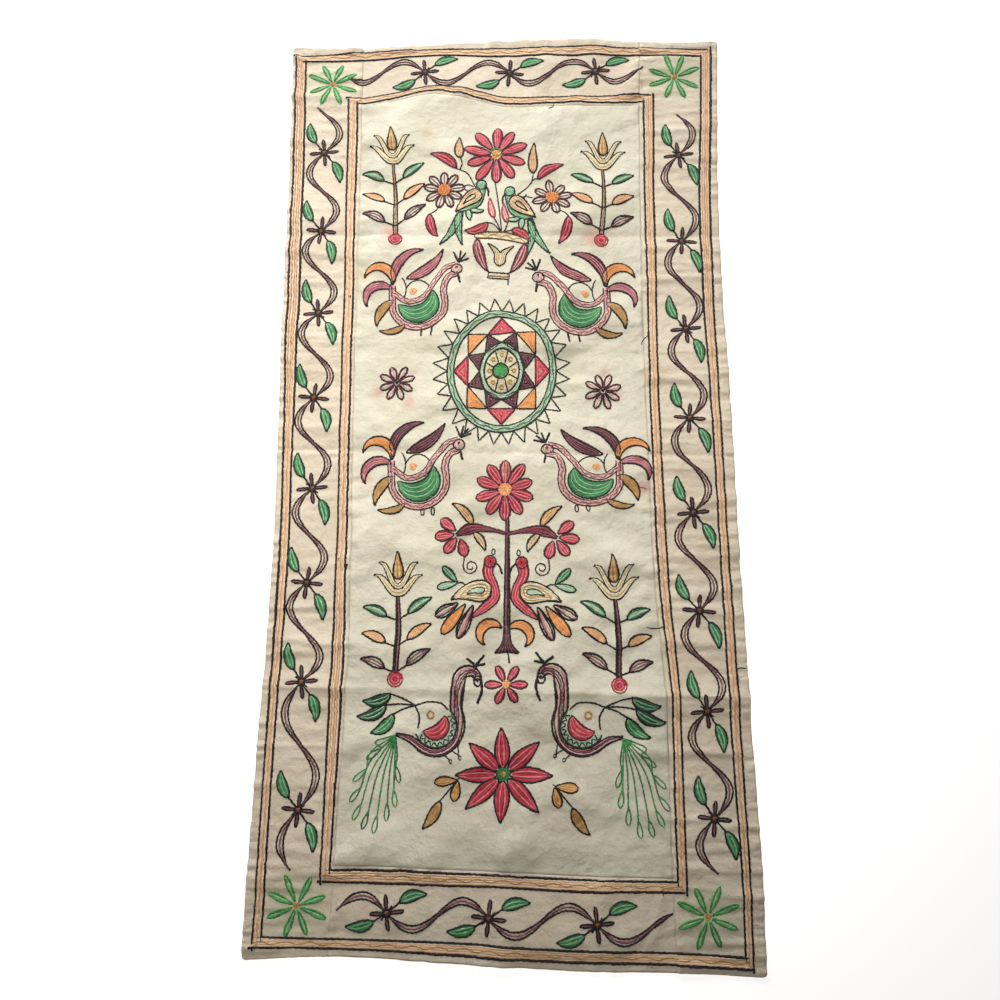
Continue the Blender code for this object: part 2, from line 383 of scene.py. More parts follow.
def grid_points(piece):
    """Rows of points between two side lines and two end lines."""
    across, up = np.meshgrid(np.linspace(0, 1, piece.columns + 1), np.linspace(0, 1, piece.rows + 1))
    y = np.zeros_like(across)
    for _ in range(SETTLING_STEPS):
        x = piece.left(y) + (piece.right(y) - piece.left(y)) * across
        y = piece.low(x) + (piece.high(x) - piece.low(x)) * up
    for side, edge in ((1, left_edge), (-1, right_edge)):
        for way, end in ((1, near_edge), (-1, far_edge)):
            a = np.maximum(CORNER_RADIUS - side * (x - edge(y)), 0)
            b = np.maximum(CORNER_RADIUS - way * (y - end(x)), 0)
            corner = (a > 0) & (b > 0)
            shrink = np.where(corner, np.maximum(a, b) / np.maximum(np.hypot(a, b), 0.001), 1)
            x = x + side * a * (1 - shrink)
            y = y + way * b * (1 - shrink)
    return x, y


def grid_faces(ids):
    corners = (ids[:-1, :-1], ids[:-1, 1:], ids[1:, 1:], ids[1:, :-1])
    return np.stack([corner.ravel() for corner in corners], 1).tolist()


def rim_of(ids):
    """The points round a grid's rim, in order."""
    return np.concatenate([ids[0, :-1], ids[:-1, -1], ids[-1, :0:-1], ids[:0:-1, 0]])


print("points across each piece:", {name: piece.columns + 1 for name, piece in PIECES.items()})

# %% [markdown]
# ## Cloth meshes
# The grids of points become meshes here. Their faces could be made one by one with BMesh, but
# numbering a whole grid at once is shorter. The wall round the rim joins the fine top to the coarse
# underside, so each cloth is closed all round.

# %% Cloth meshes
COARSE = 4


def add_mesh(name, points, faces):
    """Makes a smooth-shaded object from points in mm."""
    mesh = bpy.data.meshes.new(name)
    mesh.from_pydata((np.asarray(points) * MM).tolist(), [], faces)
    mesh.shade_smooth()
    thing = bpy.data.objects.new(name, mesh)
    bpy.context.collection.objects.link(thing)
    return thing


def add_cloth(name, piece):
    x, y = grid_points(piece)
    top = np.stack([x, y, cloth_top(x, y)], 2)
    low_x = x[::COARSE, ::COARSE]
    low_y = y[::COARSE, ::COARSE]
    bottom = np.stack([low_x, low_y, ground(low_x, low_y)], 2)
    top_ids = np.arange(x.size).reshape(x.shape)
    low_ids = x.size + np.arange(low_x.size).reshape(low_x.shape)
    faces = grid_faces(top_ids) + grid_faces(low_ids[::-1])
    top_rim = rim_of(top_ids)
    low_rim = rim_of(low_ids)
    for i in range(len(low_rim)):
        upper = [int(top_rim[(COARSE * i + k) % len(top_rim)]) for k in range(COARSE, -1, -1)]
        faces.append([int(low_rim[i]), int(low_rim[(i + 1) % len(low_rim)])] + upper)
    points = np.concatenate([top.reshape(-1, 3), bottom.reshape(-1, 3)])
    return add_mesh("cloth_" + name, points, faces)


cloths = {name: add_cloth(name, piece) for name, piece in PIECES.items()}
print("cloth faces:", {name: len(cloth.data.polygons) for name, cloth in cloths.items()})

# %% [markdown]
# ## The stitch
# Every line is stem stitch: short slanting stitches that each start a little before the last one
# ends. A curve with a round bevel would give a smooth cord instead. So a stroke here is only a path
# to begin with, and each stitch along it later becomes a small spindle of thread whose two ends
# dive into the cloth. A figure is drawn about its own middle and then placed, so that one drawing
# serves several places, where it may be mirrored, turned or stretched.

# %% Strokes
Stroke = namedtuple("Stroke", "colour path width stitch rise")
Spot = namedtuple("Spot", "x y flip turn wide high", defaults=(1, 0, 1, 1))
strokes = {name: [] for name in PIECES}
spots = [Spot(0, 0)]


def placed(spot, points):
    """Moves points drawn about the origin to a spot."""
    points = np.asarray(points, float).reshape(-1, 2) * (spot.flip * spot.wide, spot.high)
    turn = math.radians(spot.turn)
    x = points[:, 0] * math.cos(turn) - points[:, 1] * math.sin(turn)
    y = points[:, 0] * math.sin(turn) + points[:, 1] * math.cos(turn)
    return np.stack([x + spot.x, y + spot.y], 1)


def draw(figure, spot, *choices):
    """Calls the function that draws a figure, with all its stitches moved to a spot."""
    spots.append(spot)
    figure(*choices)
    spots.pop()


def area_at(x, y):
    """The piece of cloth at a place."""
    if x < left_seam(y):
        return "side_strip_left"
    if x > right_seam(y):
        return "side_strip_right"
    if y < near_seam(x):
        return "end_strip_near"
    if y > far_seam(x):
        return "end_strip_far"
    return "centre_panel"


print("stitches can lie on:", list(strokes))

# %% [markdown]
# ## Paths
# A hand draws smooth lines through a few places. A curve object does that too, but plain arrays of
# points are easier to bend, to shift sideways and to cut into stitches. These helpers make such
# paths: a smooth curve, part of an ellipse, a line beside another line, and a wavy line.

# %% Paths
CURVE_STEP = 1.2


def curve(points):
    """A smooth path through the points."""
    points = np.asarray(points, float)
    first = 2 * points[:1] - points[1:2]
    last = 2 * points[-1:] - points[-2:-1]
    chain = np.concatenate([first, points, last])
    path = []
    for before, start, end, after in zip(chain, chain[1:], chain[2:], chain[3:]):
        count = max(2, int(np.hypot(*(end - start)) / CURVE_STEP))
        t = np.arange(count)[:, None] / count
        square = (2 * before - 5 * start + 4 * end - after) * t**2
        cube = (3 * start - before - 3 * end + after) * t**3
        path.append(0.5 * (2 * start + (end - before) * t + square + cube))
    return np.concatenate(path + [points[-1:]])


def arc(centre, radii, start, end, count=9):
    """Points along part of an ellipse. The angles are in degrees."""
    angles = np.radians(np.linspace(start, end, count))
    x = centre[0] + radii[0] * np.cos(angles)
    y = centre[1] + radii[1] * np.sin(angles)
    return np.stack([x, y], 1)


def lengths_along(path):
    return np.concatenate([[0], np.cumsum(np.hypot(*np.diff(path, axis=0).T))])


def evenly(path, count):
    """The same path with count points evenly along it."""
    along = lengths_along(path)
    stations = np.linspace(0, along[-1], count)
    x = np.interp(stations, along, path[:, 0])
    y = np.interp(stations, along, path[:, 1])
    return np.stack([x, y], 1)


def beside(path, distance):
    """The path moved sideways by a distance, which may change along it."""
    along = np.gradient(path, axis=0)
    size = np.maximum(np.hypot(*along.T), 0.001)
    left = np.stack([-along[:, 1], along[:, 0]], 1) / size[:, None]
    return path + left * distance


def wavy(path, height, length):
    """The path with even waves of this height and length."""
    return beside(path, height * np.sin(2 * np.pi * lengths_along(path) / length)[:, None])


def sew(colour, points, width=1.6, stitch=4.0, straight=False, rise=0.0):
    """Adds one row of stitches. A row that lies over other thread has a rise."""
    path = placed(spots[-1], points if straight else curve(points))
    middle = path[len(path) // 2]
    strokes[area_at(*middle)].append(Stroke(colour, path, width, stitch, rise))


half_circle = arc((0, 0), (10, 10), 0, 180, 60)
print("a half circle of 10 mm measures, in mm:", round(float(lengths_along(half_circle)[-1]), 1))

# %% [markdown]
# ## Filled shapes
# Each figure is drawn in outline and filled with rows of thread that follow the outline, in two or
# three close colours. A flat face with a thread texture would hide how the rows bend. So a shape is
# given by its two sides, and its rows are spread between them. A shape with no two clear sides,
# such as a triangle, is filled with rings that shrink towards its middle.

# %% Filled shapes
SIDE_POINTS = 36
ROW_GAP = 1.15
FILL_WIDTH = 1.35
FILL_STITCH = 6.0
RING_LARGEST = 0.86
RING_SMALLEST = 0.12


def fill(side_a, side_b, colours, rows=None, trim=0.06, rise=0.0):
    """Rows of thread between two sides, which run the same way."""
    a = evenly(side_a, SIDE_POINTS)
    b = evenly(side_b, SIDE_POINTS)
    if rows is None:
        rows = max(1, round(np.hypot(*(a - b).T).max() / ROW_GAP) - 1)
    cut = round(trim * SIDE_POINTS)
    for row in range(rows):
        share = (row + 1) / (rows + 1)
        path = (a + (b - a) * share)[cut:SIDE_POINTS - cut]
        sew(colours[row % len(colours)], path, FILL_WIDTH, FILL_STITCH, True, rise)


def shape(side_a, side_b, outline, colours, rows=None, width=1.9, trim=0.04, rise=0.0):
    """A shape between two paths, outlined and filled."""
    if colours:
        fill(side_a, side_b, colours, rows, trim=trim, rise=rise)
    for side in (side_a, side_b):
        sew(outline, side, width, straight=True, rise=rise + 0.1)


def contour(corners, colours, gap=1.25):
    """Fills a shape with rings that follow its outline, each smaller than the last."""
    corners = np.asarray(corners, float)
    middle = corners.mean(axis=0)
    reach = np.hypot(*(corners - middle).T).min()
    count = max(2, round(reach / gap))
    for number, size in enumerate(np.linspace(RING_LARGEST, RING_SMALLEST, count)):
        path = middle + (corners - middle) * size
        path = np.concatenate([path, path[:1]])
        sew(colours[number % len(colours)], path, FILL_WIDTH, straight=True)


print("gap between rows of filling, in mm:", ROW_GAP)

# %% [markdown]
# ## Leaves and petals
# Nearly every figure here is made of leaves, feathers and petals. A leaf could be modelled once and
# bent with a modifier. It is simpler to draw it from its base and tip, with a bow for its spine and
# a breadth, because those four values are all that changes from one leaf to the next.

# %% Leaves and petals
LEAF = 0.8
TEARDROP = 0.5
PETAL_FULLEST = 1.5
PETAL_ROUNDNESS = 0.6


def blade(base, tip, bow, breadth, outline, colours=(), form=LEAF, width=1.9, rise=0.0, rows=None):
    """A leaf or feather. Its spine is part of a circle, which bows to the left by a distance. Its
    form sets where it is fullest: a leaf near its middle, a teardrop near its base."""
    base = np.asarray(base, float)
    chord = np.asarray(tip, float) - base
    left = np.array([-chord[1], chord[0]])
    half_turn = 2 * math.atan2(2 * bow or 0.02, np.hypot(*chord))
    t = np.linspace(0, 1, SIDE_POINTS)[:, None]
    angle = half_turn * (2 * t - 1)
    along = 0.5 + np.sin(angle) / (2 * math.sin(half_turn))
    aside = (np.cos(angle) - math.cos(half_turn)) / (2 * math.sin(half_turn))
    spine = base + chord * along + left * aside
    half = breadth / 2 * np.sin(np.pi * t**form)
    shape(beside(spine, half), beside(spine, -half), outline, colours, rows, width, 0.07, rise)


def petal(centre, tip, breadth, outline, colours=(), rows=None, start=0.14, width=1.9):
    """A loop from near a flower's centre to the petal's round tip."""
    centre = np.asarray(centre, float)
    axis = np.asarray(tip, float) - centre
    left = np.array([-axis[1], axis[0]]) / np.hypot(*axis)
    t = np.linspace(0, 1, SIDE_POINTS)[:, None]
    half = np.sin(np.pi * t**PETAL_FULLEST) ** PETAL_ROUNDNESS * breadth / 2 * left
    spine = centre + axis * (start + (1 - start) * t)
    if colours:
        fill(spine + half, spine - half, colours, rows, trim=0.05)
    loop = np.concatenate([spine + half, (spine - half)[::-1]])
    sew(outline, loop, width, 3.6, straight=True, rise=0.1)


print("leaf and petal sides have", SIDE_POINTS, "points")

# %% [markdown]
# ## Limbs, spots and rings
# A neck, a trunk or a stem is a line whose width changes along it, which a curve's radius could
# also give. A spot is sewn as a spiral from its rim to its middle, and a ring as one closed line.

# %% Limbs, spots and rings
DISC_WIDTH = 1.5


def spread_along(values, count):
    """Values spread evenly along a path of this many points, as a column."""
    return np.interp(np.linspace(0, 1, count), np.linspace(0, 1, len(values)), values)[:, None]


def limb(points, half_widths, outline, colours, rows=None, width=1.9):
    """A neck, body or trunk, outlined and filled. Its half widths are spread along its spine."""
    spine = evenly(curve(points), 2 * SIDE_POINTS)
    half = spread_along(half_widths, len(spine))
    shape(beside(spine, half), beside(spine, -half), outline, colours, rows, width, 0.02)


def strand(path, colours, half_widths, width=1.7):
    """Rows of thread side by side along one path. Its half widths are spread along it."""
    path = np.asarray(path, float)
    half = spread_along(half_widths, len(path))
    for colour, side in zip(colours, np.linspace(-1, 1, len(colours))):
        sew(colour, beside(path, side * half), width, straight=True)


def disc(centre, radius, colour, rise=0.0):
    """A round spot, sewn as one spiral from the rim to the middle."""
    turns = max(1, round(radius / ROW_GAP))
    t = np.linspace(0, 1, 16 * turns)
    angle = 2 * np.pi * turns * t
    reach = np.maximum(radius - 0.5 * DISC_WIDTH, 0.4) * (1 - 0.92 * t)
    spiral = np.stack([np.cos(angle) * reach, np.sin(angle) * reach], 1)
    sew(colour, spiral + np.asarray(centre), DISC_WIDTH, 3.0, straight=True, rise=rise)


def ring(centre, radius_x, radius_y, colour, width=1.5, rise=0.1):
    count = max(24, int(radius_x * 5))
    path = arc(centre, (radius_x, radius_y), 0, 360, count)
    sew(colour, path, width, 3.6, straight=True, rise=rise)


print("a spot of 5 mm takes", round(5 / ROW_GAP), "turns of thread")

# %% [markdown]
# ## Flowers
# A flower is a ring of petals round a spot. An Array modifier with an empty could turn one petal
# round, but then all would be the same. Here each petal's place is a little off, as a hand sews it.
# The random numbers start from a fixed seed, so the flowers are the same every time.

# %% Flowers
PETAL_SLIP = 4
hand = np.random.default_rng(41)


def tips_round(centre, radii, count, turn=0):
    """Places round an ellipse, each a little off."""
    slips = hand.uniform(-PETAL_SLIP, PETAL_SLIP, count)
    angles = np.radians(turn + 360 * np.arange(count) / count + slips)
    reach = hand.uniform(0.94, 1.06, count)
    x = centre[0] + radii[0] * reach * np.cos(angles)
    y = centre[1] + radii[1] * reach * np.sin(angles)
    return np.stack([x, y], 1)


def flower(centre, radii, count, turn, breadth, outline, colours, heart, heart_size, rows=None):
    for tip in tips_round(centre, radii, count, turn):
        petal(centre, tip, breadth, outline, colours, rows)
    disc(centre, heart_size, heart, rise=0.2)


print("petals are off their places by up to", PETAL_SLIP, "degrees")

# %% [markdown]
# ## Border lines
# Two pairs of dark lines run right round the runner, one along the hem and one along the seam. A
# band of peach thread fills each pair. The lines cross at the corners, and their small wobble is
# the hand's. A path round the whole runner would need its corners mended, so each line is sewn on
# its own, as the maker did. It is given by how far inside its edge or seam it runs, in millimetres
# at a few places along it.

# %% Border lines
SIDE_PLACES = (-380, -190, 0, 190, 380)
END_PLACES = (-215, -150, -75, 0, 75, 150, 215)
SIDE_LINES = {
    "left": [
        (left_edge, (9, 7, 6, 5, 4)),
        (left_edge, (16, 14, 14, 16, 14)),
        (left_seam, (-11, -14, -12, -12, -14)),
        (left_seam, (-3, -4, -4, -4, -5)),
    ],
    "right": [
        (right_edge, (-11, -10, -11, -9, -7)),
        (right_edge, (-17, -18, -18, -19, -17)),
        (right_seam, (11, 12, 12, 13, 14)),
        (right_seam, (4, 5, 4, 5, 4)),
    ],
}
END_LINES = {
    "far": [
        (far_edge, (-10, -5, -6, -9, -9, -9, -9)),
        (far_edge, (-16, -14, -13, -19, -19, -17, -17)),
        (far_seam, (10, 10, 9, 11, 10, 11, 11)),
        (far_seam, (4, 4, 4, 4, 4, 3, 3)),
    ],
    "near": [
        (near_edge, (11, 7, 7, 7, 7, 6, 6)),
        (near_edge, (18, 14, 15, 16, 16, 15, 15)),
        (near_seam, (-13, -13, -13, -12, -12, -11, -11)),
        (near_seam, (-3, -3, -3, -3, -3, -3, -3)),
    ],
}
LINE_STEP = 3.0
OVERRUN = 3.0
wobble = rippled(Ripple(21, 30, 30, 0.5))


def line_beside(edge, distances, places, number):
    """A line's value at each station: its edge, its distance inside it, and the hand's wobble."""
    inside = smooth_line(list(zip(places, distances)))
    return lambda station: edge(station) + inside(station) + wobble(station * 0.5, number * 40.0)


side_lines = {}
for side, lines in SIDE_LINES.items():
    side_lines[side] = [line_beside(*line, SIDE_PLACES, n) for n, line in enumerate(lines)]
end_lines = {}
for end, lines in END_LINES.items():
    end_lines[end] = [line_beside(*line, END_PLACES, n + 4) for n, line in enumerate(lines)]


def side_path(side, n):
    line = side_lines[side][n]
    middle = line(0)
    low = end_lines["near"][n](middle) - OVERRUN
    high = end_lines["far"][n](middle) + OVERRUN
    stations = np.arange(low, high, LINE_STEP)
    return np.stack([line(stations), stations], 1)


def end_path(end, n):
    line = end_lines[end][n]
    left = side_lines["left"][n](line(0)) - OVERRUN
    right = side_lines["right"][n](line(0)) + OVERRUN
    stations = np.arange(left, right, LINE_STEP)
    return np.stack([stations, line(stations)], 1)


print("lines round the runner:", len(side_lines["left"]))

# %% [markdown]
# ## Bands between the lines
# The peach band is four flat rows side by side with a thinner wavy row on top. A striped texture
# would be less work, but it wouldn't catch the light as raised rows do.

# %% Bands
BAND_STITCH = 6.5
BAND_MARGIN = 0.17
PEACH_ROWS = ("peach", "pale_peach", "peach", "pale_peach")


def band(line_a, line_b, wave_colour, wave):
    """Fills the band between two lines with rows of thread, and a wavy row down its middle."""
    count = int(lengths_along(line_a)[-1] / LINE_STEP)
    a = evenly(line_a, count)
    b = evenly(line_b, count)
    for row, colour in enumerate(PEACH_ROWS):
        share = BAND_MARGIN + (1 - 2 * BAND_MARGIN) * row / (len(PEACH_ROWS) - 1)
        sew(colour, a + (b - a) * share, 2.3, BAND_STITCH, straight=True)
    share = 0.5 + wave * np.sin(np.arange(count) * 0.85)[:, None]
    sew(wave_colour, a + (b - a) * share, 0.9, 4.5, straight=True, rise=0.5)


BORDERS = ((side_path, SIDE_LINES, "buff", 0.05), (end_path, END_LINES, "ochre", 0.14))
for draw_path, names, wave_colour, wave in BORDERS:
    for name in names:
        paths = [draw_path(name, n) for n in range(4)]
        for path in paths:
            sew("dark", path, 2.3, 5.0, straight=True, rise=0.1)
        band(paths[0], paths[1], wave_colour, wave)
        band(paths[2], paths[3], wave_colour, wave)
print("border strokes:", sum(len(rows) for rows in strokes.values()))

# %% [markdown]
# ## Crosses and leaves
# The vines pass through small crosses: four narrow loops and four short strokes round an orange
# spot. Their leaves stand on short stalks. Each could be an object that is copied along the vine.
# They are functions instead, so every copy is sewn anew onto the cloth where it lies.

# %% Crosses and leaves
CROSS_ARM = 15.0
VINE_LEAF = ((11, 8), (35, 14))
LEAF_BREADTH = 9.0


def cross(turn):
    """A knot of four narrow arms round an orange spot, with short strokes between them."""
    for quarter in range(4):
        angle = math.radians(90 * quarter + turn)
        tip = (CROSS_ARM * math.cos(angle), CROSS_ARM * math.sin(angle))
        petal((0, 0), tip, 2.6, "dark", ("plum",), 1, start=0.05, width=1.7)
        angle += math.radians(45)
        tip = (CROSS_ARM / 2 * math.cos(angle), CROSS_ARM / 2 * math.sin(angle))
        sew("dark", [(0, 0), tip], 1.7, straight=True)
    ring((0, 0), 3.4, 3.4, "dark", 1.7, rise=0.3)
    disc((0, 0), 2.4, "rust", rise=0.5)


def vine_leaf():
    base, tip = VINE_LEAF
    sew("dark", [(0, 0), base], 1.7)
    blade(base, tip, 2.5, LEAF_BREADTH, "deep_green", ("green", "leaf_green", "pale_green"))


print("vine leaf length, in mm:", round(math.dist(*VINE_LEAF), 1))

# %% [markdown]
# ## Vines
# A vine winds along each strip through a row of small crosses. Between two crosses its stem is one
# full wave of three dark and plum rows, which part where it bends. Each cross has a leaf behind it
# on one side and a leaf ahead on the other. One long curve could carry an Array of crosses, but
# hand work isn't evenly spaced. So the crosses have places, and the wave is fitted between them.

# %% Vines
# The crosses, then how far the vine runs before the first and past the last, in parts of a gap.
LEFT_VINE = (
    [(-187, 322), (-186, 234), (-185, 146), (-185, 58), (-182, -32), (-182, -122), (-182, -212),
     (-180, -323)], 0.6, 0.45,
)
RIGHT_VINE = (
    [(177, 315), (177, 220), (178, 128), (178, 37), (178, -55), (180, -146), (184, -235),
     (187, -326)], 0.5, 0.5,
)
FAR_VINE = ([(-85, 415), (4, 413), (94, 414)], 0.9, 0.55)
NEAR_VINE = ([(-98, -406), (-10, -409), (83, -413)], 0.5, 0.7)
SIDE_WAVE = 15.0
END_WAVE = 12.5
STEM_HALF_WIDTHS = (0.8, 2.2, 3.0, 2.2, 1.0, 2.2, 3.0, 2.2, 0.8)
STEM_TAPER = 0.15


def stem_between(start, end, wave, first=0.0, last=1.0):
    """Part of one full wave of the stem between two places."""
    start = np.asarray(start, float)
    chord = np.asarray(end, float) - start
    left = np.array([-chord[1], chord[0]]) / np.hypot(*chord)
    t = np.linspace(first, last, 60)
    path = start + chord * t[:, None] - left * wave * np.sin(2 * np.pi * t)[:, None]
    taper = ease((t - first) / STEM_TAPER) * ease((last - t) / STEM_TAPER)
    stations = np.linspace(0, 1, len(STEM_HALF_WIDTHS))
    half_widths = taper * np.interp(t, stations, STEM_HALF_WIDTHS)
    strand(path, ("dark", "plum", "dark"), half_widths)


def vine(crosses, before, after, wave):
    """A whole vine: its stem, its crosses and two leaves at each."""
    crosses = np.asarray(crosses, float)
    for start, end in zip(crosses, crosses[1:]):
        stem_between(start, end, wave)
    stem_between(2 * crosses[0] - crosses[1], crosses[0], wave, first=1 - before)
    stem_between(crosses[-1], 2 * crosses[-1] - crosses[-2], wave, last=after)
    heading = crosses[-1] - crosses[0]
    turn = math.degrees(math.atan2(heading[1], heading[0]))
    for number, centre in enumerate(crosses):
        draw(cross, Spot(*centre), 6 * (-1) ** number)
        for half_turn in (0, 180):
            draw(vine_leaf, Spot(*centre, 1, turn + half_turn + hand.uniform(-5, 5)))


for item in (LEFT_VINE, RIGHT_VINE):
    vine(*item, SIDE_WAVE)
for item in (FAR_VINE, NEAR_VINE):
    vine(*item, END_WAVE)
print("crosses on each vine:", [len(item[0]) for item in (LEFT_VINE, RIGHT_VINE, FAR_VINE, NEAR_VINE)])

# %% [markdown]
# ## Corner stars
# Each corner has a green star of eight loops round an ochre spot. It is the same flower function
# as before with narrow petals, since a star of loops and a daisy differ only in their numbers.

# %% Corner stars
STAR_PLACES = [(-182, 402), (176, 406), (-177, -402), (178, -406)]
for place in STAR_PLACES:
    flower(place, (27, 26), 8, 22, 4, "star_green", ("pale_star",), "ochre", 3.4, rows=1)
print("stars:", len(STAR_PLACES))

# %% [markdown]
# ## Tulip plants
# Four upright plants stand in the corners of the panel. Each has two cups of cream petals, one in
# the other, round a pointed ochre petal. Three pairs of leaves are green, orange and plum, and the
# bulb is red. Four copies of one object would be exact copies, and the real plants differ in
# height and in how their leaves rise. So one function draws a plant from its bulb up, and takes
# those values.

# %% Tulip plants
Cup = namedtuple("Cup", "start reach rise depth")
OUTER_CUP = Cup(0.0, 23.0, 20.0, 6.5)
INNER_CUP = Cup(6.5, 18.5, 25.0, 5.0)
BULB_RADIUS = 6.7
# How far below the cups each pair of leaves joins the stem, its colours and its rows.
LEAF_PAIRS = [
    (22, "deep_green", ("green", "pale_green", "mint"), 4),
    (46, "dark", ("light_orange", "peach"), 5),
    (69, "dark", ("plum", "plum"), 2),
]


def cup(middle, form):
    """A flat-bottomed bowl whose sides rise steeply and flare at their tips."""
    share = np.linspace(-1, 1, SIDE_POINTS)
    across = form.reach * share
    bottom = middle + form.start
    low = bottom + form.rise * ease((abs(share) - 0.12) / 0.88)
    high = bottom + form.depth + (form.rise - form.depth) * ease(abs(share) / 0.75)
    low_side = np.stack([across, low], 1)
    high_side = np.stack([across, high], 1)
    shape(low_side, high_side, "dark", ("cream", "cream", "tan", "cream"), width=1.4)
    for end in (0, -1):
        tip = np.array([across[end], low[end]])
        sew("dark", [tip, tip * (0.92, 1)], 2.0, rise=0.3)


def tulip(height, left_rise, right_rise, dark_stem):
    """A plant of this height. Its leaves rise by a length on each side."""
    stem = curve([(0, BULB_RADIUS), (1.5, height * 0.55), (0, height)])
    if dark_stem:
        strand(stem, ("dark", "plum", "dark", "dark"), (2.0, 2.2, 2.0, 1.2), width=1.6)
    else:
        strand(stem, ("dark", "tan", "dark"), (2.1, 1.8, 1.3, 0.8), width=1.4)
    for below, outline, colours, rows in LEAF_PAIRS:
        for side, rise in ((-1, left_rise), (1, right_rise)):
            join = height - below
            base = (side * 10, join + 0.3 * rise)
            sew("dark", [(0, join), base], 1.7)
            blade(base, (side * 32, join + rise), side * 2, 8.5, outline, colours, rows=rows)
            disc((side * 31, join + rise), 1.2, "dark", rise=0.3)
    cup(height, OUTER_CUP)
    cup(height, INNER_CUP)
    blade((0, height + 16), (-1, height + 42), 0, 9.5, "dark", ("ochre", "peach", "ochre"), TEARDROP)
    disc((0, 0), BULB_RADIUS - 0.6, "red")
    ring((0, 0), BULB_RADIUS, BULB_RADIUS, "crimson", 1.4)
    ring((0, 0), BULB_RADIUS / 2, BULB_RADIUS / 2, "rose", 1.0, rise=0.4)


draw(tulip, Spot(-110, 224, 1, 3.5), 84, 14, 22, False)
draw(tulip, Spot(97, 222, 1, -2), 79, 16, 16, False)
draw(tulip, Spot(-97, -209), 75, 12, 21, True)
draw(tulip, Spot(106, -213, 1, 1.5), 77, 21, 12, True)
print("panel strokes so far:", len(strokes["centre_panel"]))

# %% [markdown]
# ## Long-necked birds
# The same bird is sewn four times, twice mirrored. It is drawn about the middle of its round body
# and faces right. A blush band edged in maroon, with a wavy brick line along it, runs down the
# breast and along the back. The belly between them is green, and curved feathers make the tail. An
# object could be copied and scaled by -1 for the mirrored birds, but stitches have to follow the
# cloth under each bird. So the paths are mirrored, and the thread is made afterwards.

# %% Long-necked birds
HEN_BREAST = np.concatenate(
    [[(37, 31), (29, 27), (25, 15)], arc((0, 0), (26.5, 24.5), 5, -185), [(-27, 20)]]
)
HEN_BACK = [(37, 41), (26, 37), (16, 24), (5, 8), (-11, 3), (-26, 13)]
HEN_BELLY = arc((0, 0), (20.5, 19.5), 46, -180)
HEN_BELLY_TOP = [(14, 14), (5, 2), (-7, -2), (-20, 0)]
HEN_HEAD = (37.5, 36)
Feather = namedtuple("Feather", "base tip bow breadth colours")
HEN_TAIL = [
    Feather((-27, 21), (-55, 28), -15, 9, ("orange", "light_orange")),
    Feather((-27, 16), (-51, -3), -13, 9, ("plum", "rose")),
    Feather((-25, 4), (-41, -24), -5, 9, ("ochre", "tan")),
    Feather((-13, -21), (-38, -28), 4, 6.5, ("tan", "ochre")),
]
HEN_PLUMES = [((-26, 24), (4, 57), 10, 9), ((-13, 28), (24, 57), -5, 10)]


def banded(path, half_width):
    """A blush band with maroon edges and a wavy line along its middle."""
    strand(path, ("blush", "blush", "blush"), (half_width * 0.55,) * 2, width=1.7)
    strand(path, ("maroon", "maroon"), (half_width,) * 2, width=1.3)
    sew("brick", wavy(path, 0.9, 9), 1.1, straight=True, rise=0.5)


def hen(plume_colours, foot_loops):
    """The bird, with feet that are loops or single stitches."""
    fill(HEN_BELLY, curve(HEN_BELLY_TOP), ("green", "leaf_green", "green", "pale_green"), trim=0.0)
    sew("deep_green", HEN_BELLY, 1.5, rise=0.2)
    sew("deep_green", HEN_BELLY_TOP, 1.5, rise=0.2)
    banded(curve(HEN_BREAST), 3.0)
    banded(curve(HEN_BACK), 2.4)
    sew("dark", arc((-1, 8), (14, 18), 20, 150), 1.3)
    sew("dark", arc((-22, 16), (9, 14), 60, -50), 1.3)
    disc((-6, 14), 4.2, "light_orange")
    for base, tip, bow, breadth in HEN_PLUMES:
        blade(base, tip, bow, breadth, "dark", plume_colours)
    for item in HEN_TAIL:
        blade(item.base, item.tip, item.bow, item.breadth, "dark", item.colours)
    sew("maroon", [(-25, 33), (-28, 22), (-28, 8)], 2.2)
    disc(HEN_HEAD, 4.4, "blush", rise=0.2)
    ring(HEN_HEAD, 5.6, 5.0, "maroon", 1.4, rise=0.4)
    disc((37.5, 37.5), 2.2, "maroon", rise=0.5)
    sew("dark", [(39, 30), (41, 21)], 2.3)
    for angle in np.radians((15, 45, 75, 115)):
        sew("dark", [(39, 43), (39 + 11 * math.cos(angle), 44 + 11 * math.sin(angle))], 2.0)
    for top in (4, 14):
        if foot_loops:
            ring((top, -29), 1.6, 4.0, "dark", 1.2)
        else:
            sew("dark", [(top, -25), (top - 1, -34)], 2.0)


draw(hen, Spot(-85, 155), ("plum", "rose"), False)
draw(hen, Spot(75, 149, -1, 4, 1.03, 1.03), ("maroon", "rose"), False)
draw(hen, Spot(-80, -25), ("maroon", "plum"), True)
draw(hen, Spot(83, -24, -1, 3, 1.05, 0.9), ("maroon", "plum"), True)
print("panel strokes so far:", len(strokes["centre_panel"]))

# %% [markdown]
# ## The vase and its flowers
# A patterned vase holds the flowers of the far end. It is drawn up from the middle of its foot. A
# lathe or Screw modifier would turn a solid vase, but this one is flat on the cloth, so half of
# each ornament is drawn and then mirrored.

